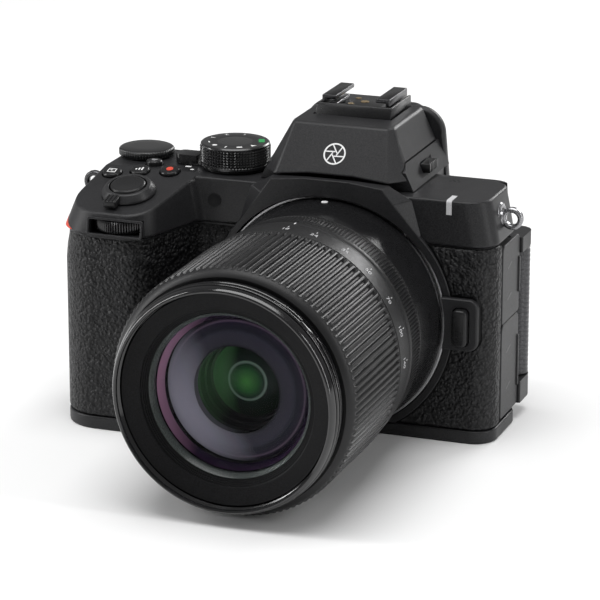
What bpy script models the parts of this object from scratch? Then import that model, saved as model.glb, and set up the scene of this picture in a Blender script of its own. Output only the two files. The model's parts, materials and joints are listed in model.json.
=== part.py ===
"""An interchangeable-lens camera with a zoom lens, as an assembly of separate pieces.

Frame: +Z up, the lens points to -Y, and +X is the side with the connector covers. The origin is on the
underside of the base plate, below the optical axis and in the plane of the image sensor's face.
Lengths below are in millimetres; MM turns them into metres when a mesh is made.
"""

import math

import bmesh
import bpy
from mathutils import Matrix, Vector

MM = 0.001
GAP = 0.3  # clearance between neighbouring pieces

# Driving dimensions of the body
BODY_RIGHT, BODY_LEFT = 50.0, -78.0
BODY_FRONT, BODY_BACK = -17.0, 11.5
GRIP_FRONT = -42.5
DECK_Z, SKIN_TOP_Z, BASE_Z = 74.0, 60.0, 4.0
DECK_BACK = 9.0
DECK_LEFT, DECK_RIGHT, DECK_GRIP_FRONT = -73.5, 47.4, -39.5
SLOPE_Y, SLOPE = -13.0, 0.25  # where the grip's top starts to fall, and its fall per millimetre
WALL, SKIN = 1.8, 0.8
AXIS_Z = 36.6
SOCKET_Y = -6.0  # tripod socket
FLANGE_Y, LENS_LENGTH = -16.0, 90.0
LENS_FRONT = FLANGE_Y - LENS_LENGTH

# Hump, flash head and accessory shoe
HUMP_FOOT, HUMP_LEAN = 24.0, 0.47  # half width at the deck, and how much it narrows per millimetre up
HUMP_TOP, HUMP_BACK = 91.0, 24.5
FINDER_HEEL_Z = 62.5
FLASH_SEAM_Z, FLASH_SIDE_Z, FLASH_TOP = 77.2, 82.2, 91.6
FLASH_HINGE = Vector((0.0, 19.5, 91.0))
FLASH_OPEN = math.radians(42)
FLASH_REAR = 20.6
FLASH_BOW = 1.2  # how much the seam under the flash head rises at the middle
SHOE_FRONT, SHOE_BACK = 1.6, 22.0

# Controls
BUTTON_N = Vector((0.0, -SLOPE, 1.0)).normalized()
SHUTTER = Vector((-59.6, -28.2, DECK_Z + SLOPE * (-28.2 - SLOPE_Y)))
MODE_DIAL = Vector((-35.5, -3.0, DECK_Z))
MAIN_DIAL = Vector((-66.0, 1.0, DECK_Z))
SUB_DIAL = Vector((-59.2, -33.6, 63.0))
SELECTOR = Vector((-52.0, BODY_BACK, 34.0))
MONITOR_AXIS = Vector((46.6, 18.2, 0.0))
PORT_HINGE = Vector((50.1, -7.3, 0.0))
DOOR_HINGE = Vector((-53.0, 0.0, 0.0))

LOOKS = {
    "shell": ((0.028, 0.028, 0.030), 0.55, 0.0),
    "rubber": ((0.018, 0.018, 0.019), 0.85, 0.0),
    "dial": ((0.022, 0.022, 0.024), 0.45, 0.0),
    "frame": ((0.35, 0.36, 0.38), 0.45, 1.0),
    "steel": ((0.62, 0.62, 0.63), 0.30, 1.0),
    "glass": ((0.02, 0.03, 0.05), 0.05, 0.0),
    "board": ((0.02, 0.16, 0.07), 0.60, 0.0),
    "red": ((0.70, 0.05, 0.03), 0.40, 0.0),
    "screen": ((0.01, 0.01, 0.012), 0.08, 0.0),
}


# ---------------------------------------------------------------- making and joining solids

def clear_scene():
    for obj in list(bpy.data.objects):
        bpy.data.objects.remove(obj)


def collection(name, hidden=False):
    made = bpy.data.collections.new(name)
    bpy.context.scene.collection.children.link(made)
    made.hide_render = hidden
    return made


def look(name):
    """The Principled BSDF material of one of LOOKS."""
    material = bpy.data.materials.get(name)
    if material is None:
        colour, roughness, metallic = LOOKS[name]
        material = bpy.data.materials.new(name)
        material.use_nodes = True
        shader = material.node_tree.nodes["Principled BSDF"]
        shader.inputs["Base Color"].default_value = (*colour, 1.0)
        shader.inputs["Roughness"].default_value = roughness
        shader.inputs["Metallic"].default_value = metallic
    return material


def add_object(name, mesh, finish):
    """An object in the camera's collection, or a cutter if its finish is None."""
    obj = bpy.data.objects.new(name, mesh)
    if finish is None:
        CUTTERS.objects.link(obj)
        obj.hide_render = True
        obj.display_type = "WIRE"
    else:
        PARTS.objects.link(obj)
        mesh.materials.append(look(finish))
    return obj


def place(name, bm, finish, pivot=(0, 0, 0)):
    """An object of this mesh, whose origin goes to pivot."""
    bmesh.ops.recalc_face_normals(bm, faces=bm.faces)
    bmesh.ops.translate(bm, vec=-Vector(pivot), verts=bm.verts)
    bmesh.ops.scale(bm, vec=(MM, MM, MM), verts=bm.verts)
    mesh = bpy.data.meshes.new(name)
    bm.to_mesh(mesh)
    bm.free()
    mesh.shade_smooth()
    mesh.set_sharp_from_angle(angle=math.radians(30))
    obj = add_object(name, mesh, finish)
    obj.location = Vector(pivot) * MM
    return obj


def block(name, low, high, finish=None, pivot=(0, 0, 0), turn=None):
    """A box between two corners, turned about its centre if turn is a rotation matrix."""
    low, high = Vector(low), Vector(high)
    bm = bmesh.new()
    size = Matrix.Diagonal((*(high - low), 1))
    centre = Matrix.Translation((low + high) / 2)
    bmesh.ops.create_cube(bm, size=1.0, matrix=centre @ (turn or Matrix.Identity(4)) @ size)
    return place(name, bm, finish, pivot)


def rod(name, start, end, radius, finish=None, end_radius=None, sides=24, pivot=(0, 0, 0)):
    """A cylinder or cone from start to end."""
    start, end = Vector(start), Vector(end)
    along = end - start
    bm = bmesh.new()
    turn = Vector((0, 0, 1)).rotation_difference(along).to_matrix().to_4x4()
    bmesh.ops.create_cone(
        bm, cap_ends=True, segments=sides, radius1=radius,
        radius2=radius if end_radius is None else end_radius, depth=along.length,
        matrix=Matrix.Translation((start + end) / 2) @ turn,
    )
    return place(name, bm, finish, pivot)


def inset(corners, distance):
    """The corners of a counter-clockwise outline moved inwards, with radii that keep its arcs concentric."""
    made = []
    for i, (x, y, radius) in enumerate(corners):
        here = Vector((x, y))
        before, after = Vector(corners[i - 1][:2]), Vector(corners[(i + 1) % len(corners)][:2])
        into, out = (here - before).normalized(), (after - here).normalized()
        normal_in, normal_out = Vector((-into.y, into.x)), Vector((-out.y, out.x))
        bend = into.x * out.y - into.y * out.x
        moved = here + (normal_in + normal_out) * distance / (1 + normal_in.dot(normal_out))
        made.append((moved.x, moved.y, max(0.3, radius - distance * (1 if bend > 0 else -1))))
    return made


def rounded(corners, steps=5):
    """The points of an outline whose corners (x, y, radius) are rounded by arcs."""
    points = []
    for i, (x, y, radius) in enumerate(corners):
        here = Vector((x, y))
        back = (Vector(corners[i - 1][:2]) - here).normalized()
        ahead = (Vector(corners[(i + 1) % len(corners)][:2]) - here).normalized()
        half = back.angle(ahead) / 2
        centre = here + (back + ahead).normalized() * radius / math.sin(half)
        start = here + back * radius / math.tan(half) - centre
        sweep = math.pi - 2 * half
        if back.x * ahead.y - back.y * ahead.x > 0:
            sweep = -sweep
        for k in range(steps + 1):
            points.append(centre + Matrix.Rotation(sweep * k / steps, 2) @ start)
    return points


# Where a flat outline's own x, y and z go when it stands in each plane
PLANES = {
    "XY": Matrix(((1, 0, 0), (0, 1, 0), (0, 0, 1))),
    "XZ": Matrix(((1, 0, 0), (0, 0, 1), (0, 1, 0))),
    "YZ": Matrix(((0, 0, 1), (1, 0, 0), (0, 1, 0))),
}


def slab(name, outline, low, high, finish=None, plane="XY", pivot=(0, 0, 0)):
    """A filled 2D curve in one plane, from low to high across it, made a mesh with welded caps."""
    curve = bpy.data.curves.new(name, "CURVE")
    curve.dimensions = "2D"
    curve.fill_mode = "BOTH"
    curve.extrude = (high - low) / 2
    spline = curve.splines.new("POLY")
    spline.points.add(len(outline) - 1)
    for point, corner in zip(spline.points, outline):
        point.co = (corner[0], corner[1], 0, 1)
    spline.use_cyclic_u = True
    guide = bpy.data.objects.new(name, curve)
    bpy.context.scene.collection.objects.link(guide)
    filled = bpy.data.meshes.new_from_object(guide.evaluated_get(bpy.context.evaluated_depsgraph_get()))
    bpy.data.objects.remove(guide)
    bm = bmesh.new()
    bm.from_mesh(filled)
    bmesh.ops.remove_doubles(bm, verts=bm.verts, dist=1e-4)
    bmesh.ops.translate(bm, vec=(0, 0, (low + high) / 2), verts=bm.verts)
    bmesh.ops.transform(bm, matrix=PLANES[plane].to_4x4(), verts=bm.verts)
    return place(name, bm, finish, pivot)


def loft(name, rings, finish=None, pivot=(0, 0, 0)):
    """A solid through rings of the same number of points, capped at both ends."""
    bm = bmesh.new()
    rows = [[bm.verts.new(p) for p in ring] for ring in rings]
    for lower, upper in zip(rows, rows[1:]):
        for i in range(len(lower)):
            k = (i + 1) % len(lower)
            bm.faces.new((lower[i], lower[k], upper[k], upper[i]))
    bm.faces.new(rows[0])
    bm.faces.new(rows[-1])
    return place(name, bm, finish, pivot)


def turned(name, profile, centre, axis, finish=None, sides=48):
    """A profile of (radius, distance along the axis) with a Screw modifier; its origin is the centre."""
    clockwise = sum(p[0] * q[1] - q[0] * p[1] for p, q in zip(profile, profile[1:] + profile[:1])) < 0
    points = profile if clockwise else profile[::-1]
    bm = bmesh.new()
    corners = [bm.verts.new((radius * MM, 0, along * MM)) for radius, along in points]
    for first, second in zip(corners, corners[1:] + corners[:1]):
        if first.co.x + second.co.x > 0:
            bm.edges.new((first, second))
    mesh = bpy.data.meshes.new(name)
    bm.to_mesh(mesh)
    bm.free()
    obj = add_object(name, mesh, finish)
    obj.location = Vector(centre) * MM
    obj.rotation_euler = Vector((0, 0, 1)).rotation_difference(Vector(axis)).to_euler()
    screw = obj.modifiers.new("turn", "SCREW")
    screw.steps = screw.render_steps = sides
    screw.use_merge_vertices = True
    screw.merge_threshold = 1e-6
    return obj


def soften(obj, width, segments=2):
    """A bevel on the sharp edges that a piece has so far."""
    bevel = obj.modifiers.new("soft_edges", "BEVEL")
    bevel.width = width * MM
    bevel.segments = segments
    bevel.limit_method = "ANGLE"
    bevel.angle_limit = math.radians(35)
    return obj


def boolean(obj, tools, operation):
    for tool in tools:
        modifier = obj.modifiers.new(f"{operation}_{tool.name}", "BOOLEAN")
        modifier.operation = operation
        modifier.object = tool
    return obj


def cut(obj, *tools):
    return boolean(obj, tools, "DIFFERENCE")


def join(obj, *tools):
    return boolean(obj, tools, "UNION")


# ---------------------------------------------------------------- shapes that several pieces share

def body_corners(back=BODY_BACK, left=BODY_LEFT, front=GRIP_FRONT, right=BODY_RIGHT):
    """The body seen from above: grip at the left, connector side at the right."""
    return [
        (right, back, 6), (left, back, 8), (left, front, 12),
        (-49.0, front, 9), (-41.6, BODY_FRONT, 3), (right, BODY_FRONT, 7),
    ]


def deck_corners():
    """The top plate's flat top, whose grip side is narrower than the body below."""
    right, left, front = DECK_RIGHT, DECK_LEFT, DECK_GRIP_FRONT
    return [
        (right, DECK_BACK, 6), (left, DECK_BACK, 8), (left, front, 12),
        (-51.5, front, 9), (-44.0, BODY_FRONT, 3), (right, BODY_FRONT, 7),
    ]


def body_slab(name, inward, low, high, finish=None, **corner_changes):
    return slab(name, rounded(inset(body_corners(**corner_changes), inward)), low, high, finish)


def level(points, z):
    return [(p[0], p[1], z) for p in points]


def hump_half_width(z):
    return HUMP_FOOT - HUMP_LEAN * (z - DECK_Z)


def hump_block(name, y_low, y_high, z_low, z_high, inward=0.0, finish=None):
    """A stretch of the hump: a block whose sides lean inwards as they rise."""
    low, high = hump_half_width(z_low) - inward, hump_half_width(z_high) - inward
    outline = [(-low, z_low), (low, z_low), (high, z_high), (-high, z_high)]
    return slab(name, outline, y_low, y_high, finish, "XZ")


def on_deck(x, y):
    """The point of the grip's top below x, y."""
    return Vector((x, y, DECK_Z + SLOPE * min(0.0, y - SLOPE_Y)))


def across_lens(name, radius, y_low, y_high, finish=None, sides=48):
    return rod(name, (0, y_low, AXIS_Z), (0, y_high, AXIS_Z), radius, finish, sides=sides)


# ---------------------------------------------------------------- body shells

def base_plate():
    door_hole = slab("cut_door_hole", rounded(inset(door_corners(), -GAP)), -1, BASE_Z + 1)
    pocket = body_slab("cut_base_pocket", 3.4, 1.8, BASE_Z + 1)
    socket_hole = rod("cut_socket_hole", (0, SOCKET_Y, -1), (0, SOCKET_Y, BASE_Z + 1), 4.4)
    plate = body_slab("base_plate", 0, 0, BASE_Z, "shell")
    soften(plate, 0.5, 1)
    cut(plate, pocket, door_hole, socket_hole, across_lens("cut_base_mount", 36.1, -30, -13.2))
    turned(
        "tripod_socket", [(3.2, 0.1), (4.1, 0.1), (4.1, 2.1), (4.8, 2.1), (4.8, 4.8), (3.2, 4.8)],
        (0, SOCKET_Y, 0), (0, 0, 1), "steel", sides=24,
    )


def door_corners():
    """The battery door seen from above, inside the base plate's rounded corner."""
    return [(DOOR_HINGE.x, -8, 1), (-75, -8, 1), (-75, -39.5, 9), (DOOR_HINGE.x, -39.5, 5)]


def battery_door():
    slab("battery_door", rounded(door_corners()), 0.0, 1.6, "shell", pivot=DOOR_HINGE)


def release_pocket():
    return block("cut_release_pocket", (38.6, -24, 31.0), (43.8, -10, 42.8))


def front_cover(pocket):
    """The front shell, thickened behind the lens mount and open at the back."""
    low, high = BASE_Z + GAP, SKIN_TOP_Z
    cover = body_slab("front_cover", SKIN + GAP, low, high, "shell")
    hollow = body_slab("cut_front_hollow", 3.1, low - 2, high + 2)
    rear = block("cut_front_rear", (-90, 2, 0), (60, 20, 70))
    side = block("cut_front_side", (44, -8.3, 0), (60, 20, 70))
    thick = block("add_mount_wall", (-41, -15, low), (41, -11.3, high))
    bore = across_lens("cut_mount_bore", 29.5, -20, -5)
    seat = across_lens("cut_mount_seat", 36.1, -20, -13.2)
    cut(cover, hollow, rear, side)
    join(cover, thick)
    cut(cover, bore, seat, pocket)


def skins(pocket):
    """The grip's rubber and the leatherette on the other side of the mount."""
    low, high = BASE_Z + GAP, SKIN_TOP_Z - GAP
    inner = body_slab("cut_skin_inner", SKIN, low - 1, high + 1)
    round_mount = across_lens("cut_skin_mount", 38.8, -30, -10)
    left_half = block("cut_left_half", (-90, -60, 0), (0, 30, 70))
    right_half = block("cut_right_half", (0, -60, 0), (60, 30, 70))
    grip_rear = block("cut_grip_rear", (-90, 6, 0), (60, 30, 70))
    port_side = block("cut_port_side", (40, -8.3, 0), (60, 30, 70))
    port_rear = block("cut_port_rear", (-10, -5, 0), (60, 30, 70))
    housing = block("cut_release_housing", (30, -20, 29.2), (46.6, -15, 45.6))
    grip = body_slab("grip_rubber", 0, low, high, "rubber")
    cut(grip, inner, right_half, grip_rear, round_mount)
    leather = body_slab("front_leatherette", 0, low, high, "rubber")
    cut(leather, inner, left_half, port_side, port_rear, round_mount, housing, pocket)


def rear_cover():
    low, high = BASE_Z + GAP, DECK_Z - 0.4
    foot, head = body_corners(), body_corners(left=DECK_LEFT, right=DECK_RIGHT)
    cover = loft("rear_cover", [
        level(rounded(foot), low), level(rounded(foot), SKIN_TOP_Z + GAP), level(rounded(head), high),
    ], "shell")
    hollow = loft("cut_rear_hollow", [
        level(rounded(inset(foot, WALL)), low - 2), level(rounded(inset(foot, WALL)), SKIN_TOP_Z),
        level(rounded(inset(head, WALL)), high + 1),
    ])
    front = block("cut_rear_front", (-90, -60, 0), (60, 6.3, 80))
    port_side = block("cut_rear_port", (46, 0, 0), (60, 10.8, 80))
    under_deck = block("cut_rear_deck", (-90, 0, SKIN_TOP_Z), (60, DECK_BACK + GAP, 80))
    cut(cover, hollow, front, port_side, under_deck)
    ear = rounded([(50.9, 10.2, 0.5), (50.9, 22.5, 4.2), (42.3, 22.5, 4.2), (42.3, 10.2, 0.5)], 4)
    upper = slab("add_ear_upper", ear, 52.4, 57.0)
    lower = slab("add_ear_lower", ear, 5.0, 11.9)
    join(cover, upper, lower)
    for name, x, z, radius in REAR_BUTTONS:
        cut(cover, rod(f"cut_hole_{name}", (x, 5, z), (x, 15, z), radius + GAP))


def top_cover():
    """The top plate, falling towards the front over the grip, hollow and open below."""
    low = SKIN_TOP_Z + GAP
    foot, deck = body_corners(back=DECK_BACK), deck_corners()
    cover = loft("top_cover", [level(rounded(foot), low), level(rounded(deck), DECK_Z)], "shell")
    hollow = loft("cut_top_hollow", [
        level(rounded(inset(foot, WALL)), low - 1), level(rounded(inset(deck, WALL)), DECK_Z - WALL),
    ])
    soften(cover, 0.8, 1)
    fall = 40.0
    wedge = [(SLOPE_Y, DECK_Z), (SLOPE_Y - fall, DECK_Z - SLOPE * fall), (SLOPE_Y - fall, 90), (SLOPE_Y, 90)]
    slope = slab("cut_slope", wedge, -90, -43, plane="YZ")
    under = slab("cut_under_slope", [(y, z - WALL * 1.15) for y, z in wedge], -90, -43, plane="YZ")
    cut(hollow, under)
    cut(cover, slope, hollow)
    cut(
        cover,
        across_lens("cut_top_mount", 36.1, -25, -10),
        block("cut_hump_opening", (-14, -8, 65), (14, 8, 80)),
        block("cut_sub_slot", (-67.7, -50, 60.8), (-50.3, -34, 65.3)),
        rod("cut_main_hole", MAIN_DIAL - Vector((0, 0, 6)), MAIN_DIAL + Vector((0, 0, 4)), 3.3),
        rod("cut_mode_hole", MODE_DIAL - Vector((0, 0, 6)), MODE_DIAL + Vector((0, 0, 4)), 3.3),
        rod("cut_shutter_hole", SHUTTER - BUTTON_N * 4, SHUTTER + BUTTON_N * 4, 5.7),
    )
    for name, x, y, radius in TOP_BUTTONS:
        point, normal = on_deck(x, y), top_normal(y)
        cut(cover, rod(f"cut_hole_{name}", point - normal * 4, point + normal * 4, radius + GAP))
    for side in (-1, 1):
        centre, _ = lug_place(side)
        reach = Vector((8 * side, 0, 0))
        cut(cover, rod(f"cut_lug_{side}", centre - reach, centre + reach, 4.9))


def mount_surround(pocket):
    """The fascia round the mount, rising to a brow below the flash head, with the release button's housing."""
    bottom_z, radius = BASE_Z + GAP, 38.3
    first = -math.acos((AXIS_Z - bottom_z) / radius) + math.pi
    last, steps = math.radians(47), 18
    arc = [first + (last - first) * k / steps for k in range(steps + 1)]
    side = [(radius * math.sin(a), AXIS_Z + radius * math.cos(a)) for a in arc]
    back_half = side + [(25.2, 73.2), (18.0, FLASH_SEAM_Z - GAP), (7.0, FLASH_SEAM_Z - GAP)]
    front_half = side + [(20.5, 72.3), (16.9, 76.3), (7.0, 76.3 + FLASH_BOW)]

    def ring(half, y_of):
        points = half + [(-x, z) for x, z in reversed(half)]
        return [(x, y_of(z), z) for x, z in points]

    def brow(z):
        rise = max(0.0, min(1.0, (z - 45) / 31))
        return -17.9 - 4.1 * rise * rise

    rings = [ring(back_half, lambda z: BODY_FRONT - GAP), ring(front_half, brow)]
    surround = loft("mount_surround", rings, "shell")
    housing = rounded([(33, 29.5, 1), (46.3, 29.5, 3), (46.3, 45.3, 3), (33, 45.3, 1)], 3)
    join(surround, slab("add_release_housing", housing, -19.6, BODY_FRONT - GAP, plane="XZ"))
    cut(surround, across_lens("cut_surround_bore", 36.1, -30, -10), pocket)
    button = rounded([(38.9, 31.3, 1.5), (43.5, 31.3, 1.5), (43.5, 42.5, 1.5), (38.9, 42.5, 1.5)], 3)
    slab("lens_release_button", button, -22.0, -17.0, "dial", "XZ", pivot=(41.2, -17.0, 36.9))


def lug_place(side):
    """Where a strap lug's boss stands on the body's side, and how far its neck reaches out."""
    return (Vector((48.0, -4.0, 66.8)), 1.2) if side > 0 else (Vector((-75.2, -8.0, 66.8)), 1.8)


def strap_lugs():
    for side, name in ((-1, "strap_lug_grip_side"), (1, "strap_lug_port_side")):
        centre, neck = lug_place(side)
        out = Vector((side, 0, 0))
        lug = rod(name, centre - out * 2, centre + out * neck, 4.5, "steel", end_radius=3.9)
        eye = centre + out * (neck + 2.4)
        ring = rod(f"add_eye_{name}", eye - Vector((0, 1.1, 0)), eye + Vector((0, 1.1, 0)), 3.4)
        hole = rod(f"cut_eye_{name}", eye - Vector((0, 5, 0)), eye + Vector((0, 5, 0)), 1.8, sides=16)
        join(lug, ring)
        cut(lug, hole)


# ---------------------------------------------------------------- hump, flash and shoe

def flash_outline(y_front, y_slope, half_front, half_side, z, bow=0.0):
    """The flash head's outline at one height, with chamfered front corners and a bow at its front."""
    right = [
        (7.0, y_front, z + bow), (half_front, y_front, z), (half_side, y_slope, z),
        (half_side, 0, z), (half_side, FLASH_REAR, z),
    ]
    return right + [(-x, y, z) for x, y, z in reversed(right)]


def flash_head():
    """The hinged cap: a solid front with the lamp under it, a roof and two arms that reach past the shoe."""
    body = loft("flash_head", [
        flash_outline(-18.0, -12.7, 17.7, hump_half_width(FLASH_SEAM_Z), FLASH_SEAM_Z, FLASH_BOW),
        flash_outline(-8.5, -5.5, 14.7, hump_half_width(FLASH_TOP), FLASH_TOP),
    ], "shell", pivot=FLASH_HINGE)
    cavity = hump_block("cut_flash_cavity", -6.6, 30, 70, FLASH_TOP - 1.6, 2.2)
    shoe_well = block("cut_flash_shoe", (-12.4, 1.2, 70), (12.4, 30, 100))
    seam = [(-12.7, 70), (-12.7, 79.8), (-9.4, FLASH_SIDE_Z), (40, FLASH_SIDE_Z), (40, 70)]
    lamp = [(-7.6, 76.0), (-7.6, FLASH_SEAM_Z), (-12.6, 82.8), (-16.2, FLASH_SEAM_Z), (-16.2, 76.0)]
    cut(
        body, cavity, shoe_well,
        slab("cut_seam_right", seam, 17.8, 30, plane="YZ"),
        slab("cut_seam_left", seam, -30, -17.8, plane="YZ"),
        slab("cut_lamp_recess", lamp, -12.5, 12.5, plane="YZ"),
    )
    window_turn = Matrix.Rotation(FLASH_OPEN, 4, "X")
    window_low, window_high = (-12, -11.37, 76.8), (12, -10.17, 82.0)
    block("flash_window", window_low, window_high, "glass", pivot=FLASH_HINGE, turn=window_turn)


def finder_arch():
    """The rounded rear end of the hump, a little wider than the flash head, reaching down behind the deck."""
    def ring(y, inward):
        top, side = HUMP_TOP - inward, 21.5 - inward
        corners = [(-24.0, FINDER_HEEL_Z, 2), (24.0, FINDER_HEEL_Z, 2), (side, top, 8), (-side, top, 8)]
        return [(x, y, z) for x, z in rounded(corners)]

    return loft("add_finder_arch", [ring(21.7, 1.0), ring(22.7, 0.0), ring(HUMP_BACK, 0.0)])


def evf_housing():
    """The fixed part of the hump: a full-width foot, a core between the flash arms, and the eyepiece end."""
    low = DECK_Z + GAP
    foot_top = FLASH_SIDE_Z - 0.5
    housing = hump_block("evf_housing", -12.2, HUMP_BACK, low, foot_top, finish="shell")
    shoulder = [(-13, 79.6), (-12.2, 79.6), (-9.2, foot_top), (-9.2, 90), (-13, 90)]
    front_room = block("cut_housing_front", (-18.3, -20, 76.4), (18.3, -6, 90))
    core = hump_block("add_hump_core", 2.0, HUMP_BACK, foot_top - 1, 89.4, 3.6)
    apron = block("add_hump_apron", (-17, -16.5, low), (17, -11, 76.4))
    hollow = block("cut_evf_hollow", (-13, -4, 70), (13, 21, 87.6))
    eyepiece = block("cut_eyepiece", (-10.3, 15, 78.2), (10.3, 30, 87.6))
    slot = block("cut_slider_slot", (21.2, 0.4, 76.4), (30, 11.2, 79.6))
    wheel_well = rod("cut_diopter_well", (-30, 18.5, 78.2), (-19.5, 18.5, 78.2), 3.7)
    cut(housing, front_room, slab("cut_housing_shoulder", shoulder, -40, 40, plane="YZ"))
    heel = block("add_finder_heel", (-22.5, BODY_BACK + GAP, FINDER_HEEL_Z), (22.5, 22.2, low + 1))
    join(housing, core, finder_arch(), apron, heel)
    cut(housing, hollow, eyepiece, slot, wheel_well)
    block("flash_slider", (21.5, 0.8, 76.7), (24.6, 8.6, 79.3), "dial", pivot=(23.0, 4.7, 78.0))
    wheel = Vector((-21.4, 18.5, 78.2))
    rod("diopter_dial", wheel + Vector((1.5, 0, 0)), wheel - Vector((2.6, 0, 0)), 3.4, "dial", pivot=wheel)
    block("eyepiece_lens", (-10.0, 23.0, 78.5), (10.0, 24.3, 87.3), "glass")
    block("evf_display", (-9.0, 3.0, 78.6), (9.0, 7.0, 87.2), "board")
    cup = slab(
        "eyecup", rounded([(-17.5, 75.2, 4), (17.5, 75.2, 4), (15.5, 91.0, 5), (-15.5, 91.0, 5)]),
        HUMP_BACK + GAP, 28.4, "rubber", "XZ", pivot=(0, HUMP_BACK, 83),
    )
    soften(cup, 0.9)
    window = rounded([(-11, 78.2, 3), (11, 78.2, 3), (11, 87.8, 3), (-11, 87.8, 3)], 3)
    cut(cup, slab("cut_eyecup", window, 20, 32, plane="XZ"))


def accessory_shoe():
    """A moulded base with a channel, and the bent steel rails that lie in it."""
    back, top = SHOE_BACK - 0.6, 94.7
    side = [(SHOE_FRONT, 89.8), (SHOE_FRONT, 91.4), (3.4, top), (back, top), (back, 89.8)]
    base = slab("shoe_base", side, -11.8, 11.8, "shell", "YZ")
    cut(base, block("cut_shoe_channel", (-11.0, 4.2, 92.5), (11.0, 30, 100)))
    rail = [
        (-10.6, 92.8), (10.6, 92.8), (10.6, 96.8), (6.25, 96.8), (6.25, 95.6), (9.3, 95.6), (9.3, 93.5),
        (-9.3, 93.5), (-9.3, 95.6), (-6.25, 95.6), (-6.25, 96.8), (-10.6, 96.8),
    ]
    slab("shoe_rails", rail, 4.6, SHOE_BACK - 0.7, "steel", "XZ")


# ---------------------------------------------------------------- controls

# Name, x, y and radius of each round button on the top plate
TOP_BUTTONS = [
    ("exposure_button", -69.3, -18.3, 2.9),
    ("iso_button", -61.4, -15.6, 2.9),
    ("picture_button", -59.5, -8.7, 2.5),
    ("record_button", -52.2, -14.3, 3.0),
]
# Name, x, z and radius of each round button on the rear cover
REAR_BUTTONS = [
    ("selector_boss", SELECTOR.x, SELECTOR.z, 5.0),
    ("menu_button", -41.0, 16.0, 3.0),
    ("playback_button", -63.0, 16.0, 3.0),
    ("delete_button", -52.0, 13.0, 3.0),
]


def top_normal(y):
    return BUTTON_N if y < SLOPE_Y else Vector((0, 0, 1))


def top_buttons():
    for name, x, y, radius in TOP_BUTTONS:
        point, normal = on_deck(x, y), top_normal(y)
        proud = 1.5 if name == "picture_button" else 0.9
        finish = "red" if name == "record_button" else "dial"
        top = point + normal * proud
        rod(name, point - normal * 2.2, top, radius, finish, end_radius=radius - 0.4, pivot=point)


def shutter_and_switch():
    turned("shutter_button", [(0, -2.4), (5.3, -2.4), (5.3, 2.6), (4.6, 3.4), (0, 3.1)],
           SHUTTER, BUTTON_N, "dial", 32)
    ring = turned("power_switch", [(5.8, 0.35), (8.2, 0.35), (8.2, 1.2), (6.8, 2.8), (5.8, 2.8)],
                  SHUTTER, BUTTON_N, "dial", 32)
    turn = Vector((0, 0, 1)).rotation_difference(BUTTON_N).to_matrix().to_4x4()
    tab = SHUTTER + BUTTON_N * 1.7 + Vector((-1.6, -8.6, -2.1))
    size = Vector((2.0, 2.4, 1.3))
    join(ring, block("add_switch_tab", tab - size, tab + size, turn=turn))


def dials():
    up = Vector((0, 0, 1))
    mode = [(0, -4.5), (3.0, -4.5), (3.0, 1.0), (10.4, 1.0), (10.75, 1.4), (10.75, 7.4), (10.2, 8.1), (0, 8.3)]
    main = [(0, -4.5), (3.0, -4.5), (3.0, 0.4), (8.3, 0.4), (8.5, 0.7), (8.5, 2.4), (8.0, 2.9), (0, 3.0)]
    sub = [(0, -1.9), (8.2, -1.9), (8.5, -1.6), (8.5, 1.6), (8.2, 1.9), (0, 1.9)]
    turned("mode_dial", mode, MODE_DIAL, up, "dial", 40)
    turned("main_command_dial", main, MAIN_DIAL, up, "dial", 40)
    turned("sub_command_dial", sub, SUB_DIAL, up, "dial", 40)
    reach, tip = 11.2, 18.6
    lever = rod("photo_video_lever", MODE_DIAL + up * GAP, MODE_DIAL + up * 0.7, 9.6, "dial", pivot=MODE_DIAL)
    low = MODE_DIAL + Vector((-tip, -3.0, GAP))
    arm = block("add_lever_arm", low, MODE_DIAL + Vector((-9.0, 3.0, 0.7)))
    grip = block("add_lever_grip", low, MODE_DIAL + Vector((-reach, 3.0, 3.2)))
    hole = rod("cut_lever_hole", MODE_DIAL - up, MODE_DIAL + up * 3, 3.4)
    join(lever, arm, grip)
    cut(lever, hole)


def rear_controls():
    back = Vector((0, 1, 0))
    for name, x, z, radius in REAR_BUTTONS[1:]:
        face = Vector((x, BODY_BACK, z))
        rod(name, face - back * 1.5, face + back * 0.9, radius, "dial", end_radius=radius - 0.3, pivot=face)
    pad = [(3.7, -1.3), (4.7, -1.3), (4.7, 0.5), (9.6, 0.5), (9.2, 1.8), (6.0, 1.2), (3.7, 1.2)]
    turned("multi_selector", pad, SELECTOR, back, "dial", 32)
    rod("ok_button", SELECTOR - back * 1.3, SELECTOR + back * 1.5, 3.3, "dial", pivot=SELECTOR)


# ---------------------------------------------------------------- covers, monitor and inner pieces

def thumb_rest():
    """A rubber rest that swells out of the rear cover towards the grip's edge."""
    foot = rounded([(-73.5, 50.0, 4), (-50.5, 53.5, 3), (-50.5, 70.5, 3), (-73.5, 70.5, 4)], 3)
    crest = rounded([(-71.8, 55.0, 3), (-64.0, 56.0, 3), (-64.0, 68.8, 3), (-71.8, 68.8, 3)], 3)
    back = BODY_BACK + GAP
    loft("thumb_rest", [[(x, back, z) for x, z in foot], [(x, back + 1.0, z) for x, z in foot],
                        [(x, back + 4.2, z) for x, z in crest]], "rubber")


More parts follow.
